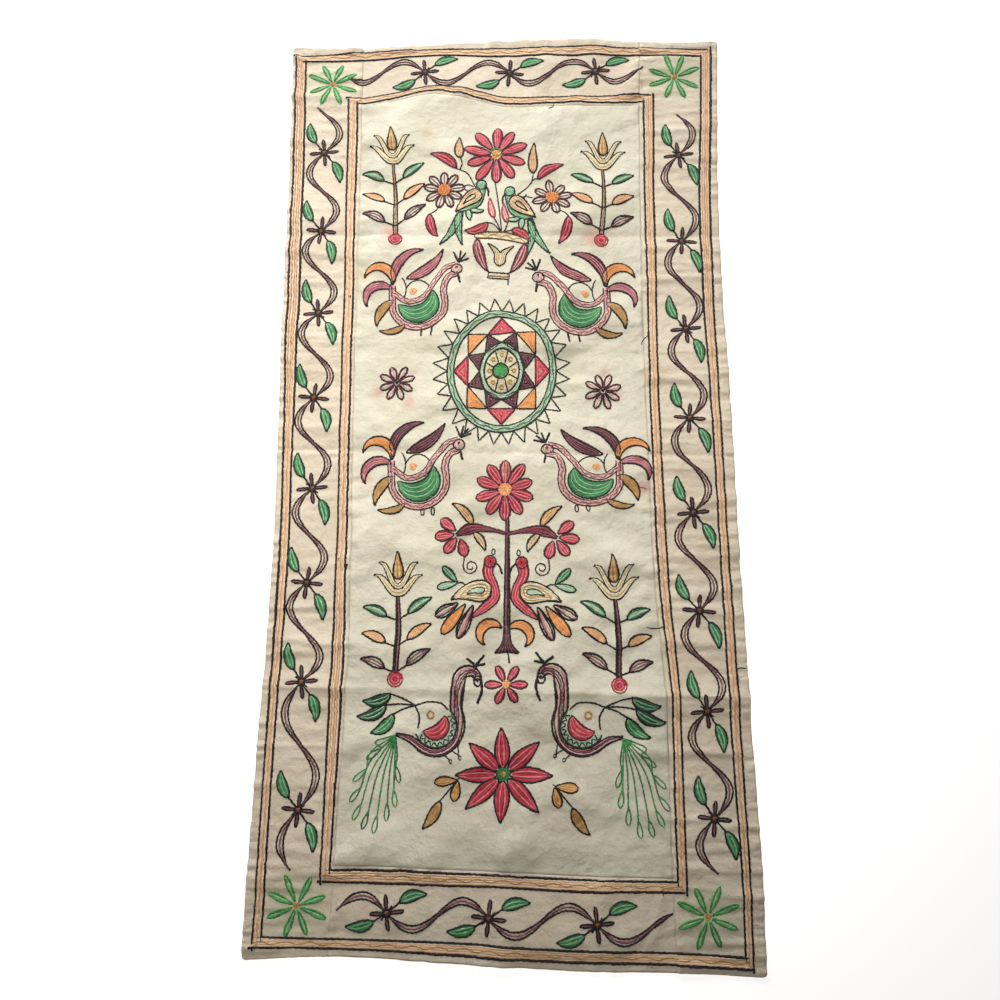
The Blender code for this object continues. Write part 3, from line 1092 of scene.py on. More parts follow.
# %% Vase
def vase():
    rim_top = curve([(-27, 43), (-22, 47), (0, 50), (22, 46), (27, 41)])
    rim_bottom = curve([(-27, 43), (-24, 40), (0, 42), (23, 39), (27, 41)])
    shape(rim_top, rim_bottom, "ochre_dark", ("cream",))
    rim_wave = wavy(curve([(-24, 43.5), (0, 46), (24, 42)]), 1.5, 13)
    sew("tan", rim_wave, 1.2, straight=True, rise=0.5)
    for side in (-1, 1):
        sew("dark", [(side * 25, 40), (side * 21, 22), (side * 10, 6)], 1.4)
        blade((side * 24, 39), (side * 11, 7), side * 3, 10, "maroon", ("crimson", "plum", "blush"))
        outer = curve([(0, 13), (side * 5, 17), (side * 6, 26), (side * 13, 35)])
        inner = curve([(0, 14), (0, 22), (side * 2, 29), (side * 13, 35)])
        fill(outer, inner, ("cream", "tan"), trim=0.0)
        sew("dark", outer, 1.6, straight=True, rise=0.1)
        sew("dark", [(0, 27), (side * 4, 31), (side * 13, 35)], 1.6, rise=0.2)
    sew("dark", [(-10, 6), (10, 6), (11, 0), (-11, 0), (-10, 6)], 1.5, straight=True)
    fill(np.array([(-10, 5), (10, 5)]), np.array([(-10, 1), (10, 1)]), ("cream", "tan"), trim=0.0)
    sew("dark", [(10, 0), (10, -6)], 1.5)


draw(vase, Spot(-6, 182, 1, -4))
print("panel strokes so far:", len(strokes["centre_panel"]))

# %% [markdown]
# ## Flowers in the vase
# A large red flower and two smaller plum ones stand in the vase, with red leaves and a few buds.
# Each stem is a path through the places where it starts, bends and ends. A tree add-on would grow
# branches by rule, but these few are quicker to list one by one.

# %% Flowers in the vase
RED_FLOWER = (-9, 317)
LEFT_FLOWER = (-62, 279)
RIGHT_FLOWER = (48, 268)
VASE_MOUTH = (-3, 231)
# Each leaf's base, tip and bow.
RED_LEAVES = [
    ((-17, 241), (-40, 232), 4),
    ((7, 234), (26, 221), 3),
    ((-50, 303), (-77, 320), -4),
    ((34, 289), (60, 307), 4),
    ((-76, 252), (-67, 226), -3),
    ((64, 245), (54, 218), 3),
]
# Each bud's base, tip, breadth, outline and colours.
SMALL_BUDS = [
    ((-11, 247), (-15, 270), 6, "crimson", ("rose", "blush")),
    ((3, 242), (-1, 263), 6, "crimson", ("rose", "blush")),
    ((-46, 314), (-47, 339), 9, "dark", ("tan", "peach")),
    ((29, 296), (30, 330), 9, "dark", ("tan", "peach")),
]
STEMS = [
    [VASE_MOUTH, (-6, 260), (-10, 288)],
    [VASE_MOUTH, (-7, 240), (-11, 247)],
    [VASE_MOUTH, (1, 235), (3, 242)],
    [VASE_MOUTH, (-10, 239), (-17, 241)],
    [VASE_MOUTH, (2, 233), (7, 234)],
    [(-30, 282), (-38, 297), (-50, 303)],
    [(-46, 302), (-44, 308), (-46, 314)],
    [(12, 271), (26, 284), (29, 296)],
    [(27, 286), (31, 290), (34, 289)],
    [(-66, 262), (-70, 256), (-76, 252)],
    [(55, 252), (60, 250), (64, 245)],
    [(-32, 283), (-38, 285), (-44, 282)],
    [(13, 269), (21, 270), (28, 268)],
]

for path in STEMS:
    sew("dark", path, 1.3)
for base, tip, bow in RED_LEAVES:
    blade(base, tip, bow, 9, "maroon", ("red", "rose", "crimson"))
for base, tip, breadth, outline, colours in SMALL_BUDS:
    blade(base, tip, 1, breadth, outline, colours, 0.65)
flower(RED_FLOWER, (32, 31), 10, 18, 9.5, "maroon", ("red", "rose"), "light_orange", 6.0)
ring((RED_FLOWER[0], RED_FLOWER[1] + 3), 5, 4, "leaf_green", 1.2, rise=0.5)
for place, count in ((LEFT_FLOWER, 9), (RIGHT_FLOWER, 8)):
    flower(place, (21, 20), count, 12, 7.5, "maroon", ("plum",), "orange", 7.2, rows=1)
print("panel strokes so far:", len(strokes["centre_panel"]))

# %% [markdown]
# ## Parrots
# Two green parrots with forked tails face each other beside the vase. A parrot is a tapering limb
# for its head and body, with blades for its tail and wing. The wing lies over the body, so its
# thread is raised a little, which stops two layers from cutting through each other.

# %% Parrots
PARROT_GREENS = ("pale_green", "green", "mint", "leaf_green")


def parrot():
    """Drawn about the middle of its wing, facing right."""
    spine = [(15, 19), (13, 10), (7, 0), (-9, -11)]
    limb(spine, (4.0, 5.5, 8.0, 7.0, 1.0), "deep_green", PARROT_GREENS)
    blade((-4, -11), (-26, -49), 3, 7, "deep_green", PARROT_GREENS, 0.7)
    blade((-6, -11), (-3, -50), -3, 7, "deep_green", PARROT_GREENS, 0.7)
    blade((2, -10), (4, -23), 0, 6, "deep_green", ("pale_green", "mint"))
    blade((4, -9), (18, -11), -2, 5, "deep_green", ("pale_green", "mint"))
    blade((14, 11), (-11, -12), -1, 15, "dark", ("cream", "tan", "peach"), TEARDROP, rise=0.6)
    blade((9, 7), (-3, -4), -1, 5, "dark", (), TEARDROP, 1.4, rise=0.9)
    disc((15, 19), 4.4, "pale_green", rise=0.3)
    ring((15, 19), 5.2, 5.2, "deep_green", 1.4, rise=0.4)
    disc((16, 20), 1.3, "dark", rise=0.6)
    sew("dark", [(19, 18), (22, 13), (22, 6)], 2.0)
    sew("dark", [(5, 12), (0, 12), (-2, 15)], 1.5)


draw(parrot, Spot(-39, 266))
draw(parrot, Spot(20, 257, -1))
print("panel strokes so far:", len(strokes["centre_panel"]))

# %% [markdown]
# ## The medallion
# The middle of the runner is a wheel: a toothed ring, a square and a diamond laid over each other,
# and a smaller ring with spokes round a green heart. All of it is a little taller than wide. Its
# teeth could be an Array round a circle. A loop over the angle does the same, and lets each tooth
# differ a little in height.

# %% Toothed ring
WHEEL = Spot(-2, 85)
TEETH = 28
TOOTH_HEIGHT = 13.5
RING_OUTER = (53.0, 62.0)
RING_INNER = (47.0, 55.5)


def round_point(radii, angle, extra=0.0):
    return np.array([(radii[0] + extra) * math.cos(angle), (radii[1] + extra) * math.sin(angle)])


def between(share):
    """The radii of an ellipse between the ring's outer and inner lines."""
    return [outer + (inner - outer) * share for outer, inner in zip(RING_OUTER, RING_INNER)]


def toothed_ring():
    for tooth in range(TEETH):
        start, middle, end = [2 * math.pi * (tooth + step) / TEETH for step in (0, 0.5, 1)]
        tip = round_point(RING_OUTER, middle, TOOTH_HEIGHT * hand.uniform(0.9, 1.1))
        path = [round_point(RING_OUTER, start), tip, round_point(RING_OUTER, end)]
        sew("deep_green", path, 1.5, straight=True)
    for share in (0.22, 0.5, 0.78):
        ring((0, 0), *between(share), "mint", 1.8, rise=0)
    for share in (0, 1):
        ring((0, 0), *between(share), "deep_green", 1.7)
    wave = wavy(arc((0, 0), between(0.5), 0, 360, 120), 1.0, 17)
    sew("green", wave, 1.2, straight=True, rise=0.6)


draw(toothed_ring, WHEEL)
print("teeth:", TEETH)

# %% [markdown]
# ## The star in the medallion
# A square and a diamond lie over each other. Where their sides cross, they cut each other into red,
# orange and dark triangles. The places could be read off a drawing with a ruler. Working out where
# the lines cross makes the triangles fit exactly, whatever the size of the star.

# %% Star of triangles
SQUARE = [(-33, 38), (33, 38), (33, -38), (-33, -38)]
DIAMOND = [(0, 54), (47, 0), (0, -54), (-47, 0)]
HUB_RADII = (21.5, 28.5)


def toward(point):
    """The point of the hub's ring that faces another point."""
    return round_point(HUB_RADII, math.atan2(point[1] / HUB_RADII[1], point[0] / HUB_RADII[0]))


def triangle(corners, outline, colours):
    corners = np.asarray(corners, float)
    contour(corners, colours)
    sew(outline, np.concatenate([corners, corners[:1]]), 1.6, straight=True, rise=0.2)


def crossing(p, q, r, s):
    """Where the line through p and q meets the line through r and s."""
    p, q, r, s = [np.asarray(point, float) for point in (p, q, r, s)]
    u = q - p
    v = s - r
    share = ((r - p)[0] * v[1] - (r - p)[1] * v[0]) / (u[0] * v[1] - u[1] * v[0])
    return p + share * u


def star_of_triangles():
    points = []
    for i in range(4):
        side = (SQUARE[i], SQUARE[(i + 1) % 4])
        left = crossing(DIAMOND[i], DIAMOND[i - 1], *side)
        right = crossing(DIAMOND[i], DIAMOND[(i + 1) % 4], *side)
        points.append((left, right, DIAMOND[i], SQUARE[(i + 1) % 4]))
    for i, (left, right, tip, corner) in enumerate(points):
        triangle((tip, left, right), "maroon", ("red", "red", "rose"))
        triangle((corner, right, points[(i + 1) % 4][0]), "dark", ("light_orange", "orange"))
        triangle((left, toward(tip), toward(points[i - 1][3])), "dark", ("maroon", "plum", "maroon"))
        triangle((right, toward(tip), toward(corner)), "dark", ("maroon", "plum", "maroon"))


draw(star_of_triangles, WHEEL)
print("triangles:", 4 * len(SQUARE))

# %% [markdown]
# ## The hub of the medallion
# The hub is a cream oval with eight spokes and eight small rings round a green heart. Its layers
# are sewn one over the other, from the cream ground up, and each lies a little higher.

# %% Hub
SPOKES = 8


def hub():
    contour(arc((0, 0), (16.5, 23.5), 0, 360, 60), ("cream",), 1.5)
    for share in (0.86, 0.93):
        ring((0, 0), HUB_RADII[0] * share, HUB_RADII[1] * share, "mint", 1.8)
    for share in (0.79, 1):
        ring((0, 0), HUB_RADII[0] * share, HUB_RADII[1] * share, "deep_green", 1.7, rise=0.4)
    for spoke in range(SPOKES):
        angle = 2 * math.pi * (spoke + 0.5) / SPOKES
        path = [round_point((8, 9), angle), round_point((17, 23.5), angle)]
        sew("dark", path, 1.3, straight=True, rise=0.6)
        place = round_point((12, 16.5), 2 * math.pi * spoke / SPOKES)
        ring(place, 2.0, 2.0, "ochre", 1.8, rise=0.6)
    disc((-1, 0), 7.0, "star_green", rise=0.5)
    ring((-1, 0), 7.6, 7.6, "deep_green", 1.7, rise=0.7)


draw(hub, WHEEL)
print("panel strokes so far:", len(strokes["centre_panel"]))

# %% [markdown]
# ## Loose flowers
# Two small dark flowers stand beside the wheel, and a red one between the peacocks. At the near
# end lies the largest flower, of eight pointed petals, with a sprig of buds at each side. Round
# petals are loops, and pointed ones are blades with a straight spine, so no new shape is needed.

# %% Loose flowers
for place in ((-104, 73), (96, 64)):
    flower(place, (18, 18), 8, 20, 6, "maroon", ("blush",), "dark", 2.6, rows=1)
flower((4, -213), (19, 18), 6, 0, 7, "maroon", ("red", "rose"), "light_orange", 4.5)


def big_flower():
    for tip in tips_round((0, 0), (43, 42), 8, 0):
        blade(tip * 0.12, tip, 0, 13, "dark", ("red", "red", "rose", "crimson"))
    disc((0, 0), 6.5, "green", rise=0.3)
    disc((0, 0), 3, "ochre", rise=0.7)


def sprig():
    sew("dark", [(0, 0), (6, -7), (17, -20)], 1.4)
    for tip in ((22, -4), (5, -20)):
        petal((1, -2), tip, 8, "dark", ("ochre", "light_orange"), start=0.05)
    blade((17, -20), (32, -43), -2, 9, "dark", ("ochre", "tan"))


draw(big_flower, Spot(2, -291))
draw(sprig, Spot(46, -298))
draw(sprig, Spot(-37, -294, -1))
print("panel strokes so far:", len(strokes["centre_panel"]))

# %% [markdown]
# ## The tree
# A tree with one large flower at its top stands in the lower half. A Mirror modifier would make
# both sides the same. Here one branch is drawn and sewn twice, once at each side, and the second is
# a little wider, as on the real runner.

# %% Tree
TREE_FLOWER = (2, -33)
TRUNK_X = 4.5


def trunk():
    stem = curve([(0, -60), (0, -120), (0, -176)])
    strand(stem, ("dark", "plum", "maroon", "dark"), (1.2, 1.8, 2.4, 2.8), width=1.6)
    left_root = curve([(-2, -162), (-4, -176), (-11, -185)])
    right_root = curve([(2, -162), (4, -176), (11, -185)])
    shape(left_root, right_root, "dark", ("dark", "plum", "maroon"))
    sew("dark", [(-11, -185), (0, -184), (11, -185)], 2.2)
    sew("dark", [(1, -185), (2, -190), (2, -194)], 1.5)


def branch():
    spine = [(-9, -75), (8, -71), (24, -70), (39, -77)]
    limb(spine, (0.8, 1.2, 2.8, 5.0, 0.8), "maroon", ("maroon", "plum", "crimson"))
    for tip in arc((36, -76), (23, 21), 42, -104, 4):
        petal((36, -76), tip, 9.5, "maroon", ("red", "rose"), start=0.2)
    blade((24, -67), (43, -47), 3, 8, "dark", ("ochre", "peach"))
    blade((23, -74), (12, -91), -2, 7, "dark", ("tan", "cream"))
    t = np.linspace(0, 1, 40)
    angle = np.radians(20 - 560 * t)
    reach = 7.5 * (1 - 0.75 * t)
    curl = np.stack([25 + reach * np.cos(angle), -106 + reach * np.sin(angle)], 1)
    sew("maroon", np.concatenate([[(31, -96)], curl]), 1.3, straight=True)


print("the tree is", round(TREE_FLOWER[1] + 185), "mm from its flower's middle to its root")

# %% [markdown]
# ## Birds on the tree
# Two red birds with striped tails perch against the trunk. Their wings lie over the body in three
# layers, each smaller and a little higher than the last, as the thread does on the cloth. A bird
# and its branch are drawn together at each side, so they stay where they belong.

# %% Birds on the tree
# The bird's tail feathers: base, tip, colours and rows.
TREE_BIRD_TAIL = [
    ((36, -140), (57, -152), ("maroon", "blush"), 3),
    ((29, -141), (51, -168), ("orange", "light_orange"), None),
    ((22, -142), (36, -172), ("maroon", "blush", "rose"), 4),
]


def tree_bird():
    """Its head is at the top left, and its tail spreads to the right."""
    spine = [(7, -101), (9, -112), (4, -123), (2, -134), (9, -142), (23, -153)]
    limb(spine, (4.6, 4.2, 3.6, 3.8, 3.6, 0.6), "maroon", ("red", "rose", "red"))
    disc((7, -101), 4.8, "red", rise=0.2)
    ring((7, -101), 5.5, 5.5, "maroon", 1.4, rise=0.3)
    disc((7, -101), 1.8, "dark", rise=0.6)
    sew("dark", [(2, -102), (-2, -106), (-4, -113)], 1.9)
    ring((4, -92), 1.6, 3.0, "deep_green", 1.2)
    blade((6, -130), (43, -137), 4, 20, "dark", ("cream", "cream", "tan"), TEARDROP, rise=0.4)
    blade((9, -129), (34, -134), 3, 12, "tan", (), TEARDROP, 1.1, 0.7)
    blade((12, -129), (28, -132), 2, 6, "deep_green", ("mint",), TEARDROP, 1.4, 0.9)
    sew("dark", [(28, -124), (33, -121), (37, -121)], 1.5)
    petal((37, -121), (51, -106), 7, "deep_green", ("green", "pale_green"), start=0.02)
    petal((37, -121), (56, -126), 6.5, "deep_green", ("mint", "pale_green"), start=0.02)
    for base, tip, colours, rows in TREE_BIRD_TAIL:
        petal(base, tip, 10, "dark", colours, rows, start=0.0)
    blade((-4, -163), (11, -178), 13, 9, "dark", ("orange", "light_orange"), 0.9)


fill(curve([(-2, -5), (-1, -24)]), curve([(6, -5), (5, -24)]), ("pale_green",), 2)
flower(TREE_FLOWER, (28, 29), 10, 18, 10, "maroon", ("red", "rose", "crimson"), "light_orange", 7.0)
draw(trunk, Spot(TRUNK_X, 0))
for spot in (Spot(TRUNK_X - 9, 0, -1), Spot(TRUNK_X + 8, -1, 1, -1, 1.03, 1)):
    draw(branch, spot)
    draw(tree_bird, spot)
print("panel strokes so far:", len(strokes["centre_panel"]))

# %% [markdown]
# ## Peacocks
# Two peacocks stand at the near end. Each has a long tail of single green lines that end in loops.
# A hair system could make such a fan, but a few formulas keep it neat: the lines fan out between
# two angles, are longest in the middle, arch a little and end in a narrow loop. A peacock is drawn
# about its breast and faces right.

# %% Peacock tail
TAIL_ROOT = np.array((-36, -8))
TAIL_COUNT = 9
TAIL_ANGLES = (-141, -84)
TAIL_LENGTHS = (35, 86)
TAIL_SPREAD = 1.2
TAIL_LOOP = 15


def tail_lines():
    """Lines that fan out, arch and hang, longest in the middle. Each ends in a narrow loop."""
    first, last = TAIL_ANGLES
    shortest, longest = TAIL_LENGTHS
    for number, share in enumerate(np.linspace(0, 1, TAIL_COUNT)):
        colour = ("green", "leaf_green")[number % 2]
        angle = math.radians(last + (first - last) * (1 - share) ** TAIL_SPREAD)
        length = shortest + (longest - shortest) * math.sin(math.pi * 0.95 * share)
        length = length + hand.uniform(-2, 2)
        tip = TAIL_ROOT + length * np.array([math.cos(angle), math.sin(angle)])
        arch = TAIL_ROOT + (tip - TAIL_ROOT) * 0.42 + (-7 * (1 - share), 3 * (1 - share))
        neck = tip + (TAIL_ROOT - tip) * TAIL_LOOP / length + (2 - 4 * share, 0)
        sew(colour, [TAIL_ROOT, arch, neck], 1.4)
        petal(neck, tip, 4.2, colour, start=0.0, width=1.3)


print("tail lines of each peacock:", TAIL_COUNT)

# %% [markdown]
# ## Peacock bodies
# A peacock has a dark arched neck of many rows, and a red breast inside a pale ring with a zigzag
# on it. The neck and body are one limb whose spine is made of two arcs, because an arc bends evenly
# and a free curve through a few points tends to kink.

# %% Peacock bodies
NECK = np.concatenate(
    [arc((29, 40), (9, 9), 10, 180, 6), [(18, 16)], arc((0, 0), (22, 23), 15, -125, 7),
     [(-23, -11), (-36, -7)]]
)
NECK_HALF_WIDTHS = (2.8, 4.6, 5.5, 5.5, 5.0, 4.0, 3.2, 3.0, 3.0, 3.0, 2.5, 0.6)
NECK_COLOURS = ("maroon", "blush", "maroon", "plum", "maroon", "rose")
BREAST_RADIUS = 12.0
PALE_RING_SHARES = (1.12, 1.24, 1.36, 1.48)
BREAST_ANGLES = (48, -160)
ZIGZAG_STEPS = 23
BACK = (-19, 18)
# Each leaf behind the back: its base, tip and first colour.
TAIL_LEAVES = [
    ((-42, 28), (-67, 22), "deep_green"),
    ((-46, 18), (-72, 8), "deep_green"),
    ((-39, 10), (-59, -6), "leaf_green"),
]


def peacock():
    limb(NECK, NECK_HALF_WIDTHS, "dark", NECK_COLOURS, 6, 2.0)
    disc((37, 40.5), 2.6, "maroon", rise=0.2)
    ring((37, 40), 3.4, 4.6, "dark", 1.7, rise=0.4)
    breast = arc((0, 0), (BREAST_RADIUS, BREAST_RADIUS), *BREAST_ANGLES, ZIGZAG_STEPS)
    for share in PALE_RING_SHARES:
        sew("mint", breast * share, 1.8, straight=True)
    zigzag = beside(breast * 1.32, 2.2 * (-1.0) ** np.arange(ZIGZAG_STEPS)[:, None])
    sew("deep_green", zigzag[1:-1], 1.2, straight=True, rise=0.6)
    sew("deep_green", breast * 1.56, 1.6, straight=True, rise=0.4)
    chord = curve([breast[0], (-1, 0.5), breast[-1]])
    fill(chord, breast, ("red", "rose", "red"), trim=0.03)
    sew("maroon", chord, 1.5, straight=True, rise=0.2)
    sew("maroon", breast, 1.5, straight=True, rise=0.3)
    ring((-5, 10), 2.9, 3.4, "ochre", 1.9)
    sew("dark", [(11, 14), (4, 20), (-8, 21), BACK], 1.6)
    sew("dark", [BACK, (-15, 9), (-16, -2)], 1.6)
    for base, tip, colour in TAIL_LEAVES:
        halfway = ((BACK[0] + base[0]) / 2, (BACK[1] + base[1]) / 2 + 1)
        sew("dark", [BACK, halfway, base], 1.6)
        blade(base, tip, 4, 10, "dark", (colour, "green", "pale_green"))
        disc(base, 1.7, "dark")
    sew("dark", [(40, 42), (41, 31), (37, 20)], 2.6)
    for tip in ((27, 60), (43, 63), (44, 55)):
        sew("dark", [(34, 48), (35, 53), tip], 2.4)
    tail_lines()
    for top, foot in (((6, -22), (13, -29)), ((20, -14), (21, -26)), ((13, -20), (21, -25))):
        sew("dark", [top, foot], 1.2)
    for foot in ((14, -30), (22, -27)):
        ring(foot, 1.3, 1.9, "dark", 1.2)


draw(peacock, Spot(-59, -250))
draw(peacock, Spot(72, -249, -1, -3, 1.04, 1))
print("panel strokes:", len(strokes["centre_panel"]))

# %% [markdown]
# ## Knots and loose ends
# Threads were started and ended on the right side, so small dark knots and stray ends show. Hair
# strands could lie about at random, but the real ends are in a few known places. Each is a short
# thread with a length and a heading, and it curls a little one way or the other.

# %% Knots and loose ends
LooseEnd = namedtuple("LooseEnd", "x y angle length colour")
KNOTS = [(-154, 163), (-153, -100), (-146, -106), (-207, -365), (-113, 285), (140, -386), (128, -443)]
LOOSE_ENDS = [
    LooseEnd(-221, 190, -25, 17, "dark"),
    LooseEnd(51, 377, 225, 9, "dark"),
    LooseEnd(134, 110, 55, 15, "dark"),
    LooseEnd(-74, 393, 90, 13, "dark"),
    LooseEnd(-168, -429, 0, 10, "dark"),
    LooseEnd(130, -160, 0, 19, "dark"),
    LooseEnd(212, -198, 5, 8, "dark"),
    LooseEnd(141, -382, 268, 8, "dark"),
    LooseEnd(1, -72, 140, 11, "cream"),
    LooseEnd(-207, -362, 250, 7, "orange"),
    LooseEnd(-164, -430, 262, 5, "orange"),
    LooseEnd(127, -437, 280, 10, "orange"),
    LooseEnd(128, -31, -10, 8, "red"),
    LooseEnd(-131, -22, 240, 6, "red"),
]
CURL = 0.9

for place in KNOTS:
    disc(place, 2.4, "dark")
for end in LOOSE_ENDS:
    t = np.linspace(0, 1, 8)
    bend = math.radians(end.angle) + CURL * (t - 0.5) * hand.choice((-1, 1))
    steps = np.stack([np.cos(bend), np.sin(bend)], 1) * end.length / len(t)
    sew(end.colour, np.array([end.x, end.y]) + np.cumsum(steps, axis=0), 1.0, straight=True)
print("all strokes:", sum(len(rows) for rows in strokes.values()))

# %% [markdown]
# ## Thread as geometry
# Every stitch is a spindle: a tip, three rings of four points and a tip. One spindle object with
# many instances would be lighter still, but each stitch has its own length, slant and width, and
# its ends lie on uneven cloth. So all the points are worked out at once as arrays, which is fast.

# %% Stitch points
RING_SHARES = (0.14, 0.5, 0.86)
STATION_SHARES = np.array((0, *RING_SHARES, 1))
OVERLAP = 0.5
SLANT = 0.45
TIP_DEPTH = 0.15
RIDGE = 0.5
FLANK = 0.16
ROOT = 0.3
WIDEST_TWIST = 1.4
thread_noise = np.random.default_rng(31)


def stitch_stations(stroke):
    """Where each stitch along a stroke has its tips and rings."""
    along = lengths_along(stroke.path)
    count = max(1, round(along[-1] / stroke.stitch))
    pitch = along[-1] / count
    first = np.arange(count)[:, None] * pitch - OVERLAP * pitch / 2
    stations = np.clip(first + STATION_SHARES * pitch * (1 + OVERLAP), 0, along[-1])
    x = np.interp(stations, along, stroke.path[:, 0])
    y = np.interp(stations, along, stroke.path[:, 1])
    return np.stack([x, y], 2)


def thread_points(group):
    """All the points of the stitches of one colour, with a tone for each."""
    parts = [stitch_stations(stroke) for stroke in group]
    places = np.concatenate(parts)
    sizes = [len(part) for part in parts]
    width = np.repeat([stroke.width for stroke in group], sizes)
    lift = np.repeat([stroke.rise for stroke in group], sizes)
    count = len(places)
    width = width * thread_noise.uniform(0.86, 1.14, count)
    run = places[:, -1] - places[:, 0]
    forward = run / np.maximum(np.hypot(*run.T), 0.01)[:, None]
    aside = np.stack([-forward[:, 1], forward[:, 0]], 1)
    twist = np.minimum(width, WIDEST_TWIST)[:, None]
    lean = SLANT * twist * (STATION_SHARES - 0.5) + thread_noise.normal(0, 0.07, (count, 1))
    places = places + aside[:, None, :] * lean[:, :, None]
    height = cloth_top(places[:, :, 0], places[:, :, 1]) + lift[:, None]
    ends = places[:, (0, -1)]
    points = [np.concatenate([ends, height[:, (0, -1), None] - TIP_DEPTH], 2)]
    middle = places[:, 1:-1]
    base = height[:, 1:-1]
    half = width[:, None, None] / 2
    for side, share in ((0, -ROOT), (1, FLANK), (0, RIDGE), (-1, FLANK)):
        plan = middle + side * half * aside[:, None, :]
        points.append(np.concatenate([plan, (base + share * twist)[:, :, None]], 2))
    points = np.concatenate(points, 1)
    tone = np.repeat(thread_noise.uniform(0, 1, count), points.shape[1])
    return points.reshape(-1, 3), tone, count


print("a stitch is at most", round((ROOT + RIDGE) * WIDEST_TWIST, 1), "mm high")

# %% [markdown]
# ## Thread meshes
# All the stitches of one colour on one piece of cloth are joined in one mesh, because a few large
# meshes are quicker to draw than thousands of small objects. Each point keeps its stitch's tone, a
# random value that the material turns into a lighter or darker thread.

# %% Thread meshes
def spindle_faces():
    """The faces of one stitch: points 0 and 1 are its tips, then four lines of ring points."""
    rings = len(RING_SHARES)
    faces = []
    for side in range(4):
        here = 2 + side * rings
        there = 2 + (side + 1) % 4 * rings
        faces.append((0, here, there))
        faces.append((1, there + rings - 1, here + rings - 1))
        for k in range(rings - 1):
            faces.append((here + k, here + k + 1, there + k + 1))
            faces.append((here + k, there + k + 1, there + k))
    return np.array(faces)


SPINDLE = spindle_faces()
POINTS_PER_STITCH = 2 + 4 * len(RING_SHARES)


def add_threads(name, group):
    points, tone, count = thread_points(group)
    faces = (SPINDLE[None] + np.arange(count)[:, None, None] * POINTS_PER_STITCH).reshape(-1, 3)
    threads = add_mesh(name, points, faces.tolist())
    attribute = threads.data.attributes.new("tone", "FLOAT", "POINT")
    attribute.data.foreach_set("value", tone.astype(np.float32))
    return threads


threads = {}
for area, drawn in strokes.items():
    for colour in sorted({stroke.colour for stroke in drawn}):
        group = [stroke for stroke in drawn if stroke.colour == colour]
        threads[area, colour] = add_threads(f"thread_{area}_{colour}", group)
thread_faces = {f"{area} {colour}": len(item.data.polygons) for (area, colour), item in threads.items()}
print("thread triangles:", sum(thread_faces.values()), "largest:", max(thread_faces.values()))

# %% [markdown]
# ## Materials
# The maker used one kind of thread in many dyes, on two plain cottons. Each thread colour is a pair,
# darker and lighter, between which single stitches vary. Colours are chosen as hex codes, the way a
# paint program shows them, and one function turns them into the linear light of the shaders.

# %% Colours
THREAD_COLOURS = {
    "dark": ("#0c0605", "#221410"),
    "maroon": ("#34121a", "#54202a"),
    "plum": ("#7a444e", "#9e6870"),
    "blush": ("#d4a8a0", "#eac6bc"),
    "rose": ("#c86c74", "#e89a9c"),
    "brick": ("#8c3c44", "#b05c60"),
    "red": ("#b42234", "#d44456"),
    "crimson": ("#8a1a28", "#b0303e"),
    "rust": ("#7c4226", "#a8643c"),
    "orange": ("#d67c34", "#ee9e58"),
    "light_orange": ("#e49c5c", "#f4bc84"),
    "peach": ("#e6b890", "#f0c8a4"),
    "pale_peach": ("#eccaa8", "#f4d8bc"),
    "buff": ("#c89c72", "#dab48c"),
    "tan": ("#a67c4e", "#c49c6c"),
    "ochre": ("#ac803c", "#caa058"),
    "ochre_dark": ("#4c3018", "#6c4a28"),
    "cream": ("#dacda4", "#ece2c0"),
    "mint": ("#acc0a4", "#cadac0"),
    "deep_green": ("#101c14", "#20382a"),
    "green": ("#2a683c", "#4a8e58"),
    "leaf_green": ("#2e8242", "#56aa64"),
    "pale_green": ("#86b48c", "#acd0ac"),
    "star_green": ("#2e8038", "#52a85a"),
    "pale_star": ("#88c486", "#aedeaa"),
}
PANEL_COTTON = ("#d4ccb6", "#e3dcc9")
STRIP_COTTON = ("#d8c7b0", "#e6d7c2")


def linear(code):
    """A colour code as the linear light that shaders work in."""
    light = []
    for start in (1, 3, 5):
        part = int(code[start:start + 2], 16) / 255
        light.append(part / 12.92 if part <= 0.04045 else ((part + 0.055) / 1.055) ** 2.4)
    return (*light, 1.0)


print("thread colours:", len(THREAD_COLOURS))

# %% [markdown]
# ## Nodes
# A material's nodes can be laid out by hand in the shader editor. From a script, one function that
# adds a node, sets its values and links it keeps each material readable. A pattern's size is given
# in millimetres, and turned into the scale that its texture node needs.

# %% Nodes
def new_material(name):
    material = bpy.data.materials.new(name)
    material.use_nodes = True
    return material, material.node_tree, material.node_tree.nodes["Principled BSDF"]


def add_node(tree, kind, links=(), stops=(), **settings):
    """Adds a node and sets its sockets and properties. Links are (socket, source) pairs into it,
    and the stops of a colour ramp are (position, colour) pairs."""
    node = tree.nodes.new(kind)
    for number, (position, code) in enumerate(stops):
        node.color_ramp.elements[number].position = position
        node.color_ramp.elements[number].color = linear(code)
    for key, value in settings.items():
        if key in node.inputs:
            node.inputs[key].default_value = value
        else:
            setattr(node, key, value)
    for socket, source in links:
        tree.links.new(source, node.inputs[socket])
    return node


def scale_for(size, unit_length=1.0):
    """The scale that makes a texture's features this many mm large."""
    return unit_length / (size * MM)


print("a pattern of 1 mm has the scale", round(scale_for(1.0)))

# %% [markdown]
# ## Thread
# Stranded embroidery cotton is a dielectric with a soft shine, smoother than the cloth under it.
# Its strands are twisted, which breaks the shine into fine flecks. A real hair shader is made for
# curves, so these meshes use the Principled shader with a fine bump for the fibres.

# %% Thread material
FIBRE_SIZE = 0.3846
FIBRE_DEPTH = 0.2


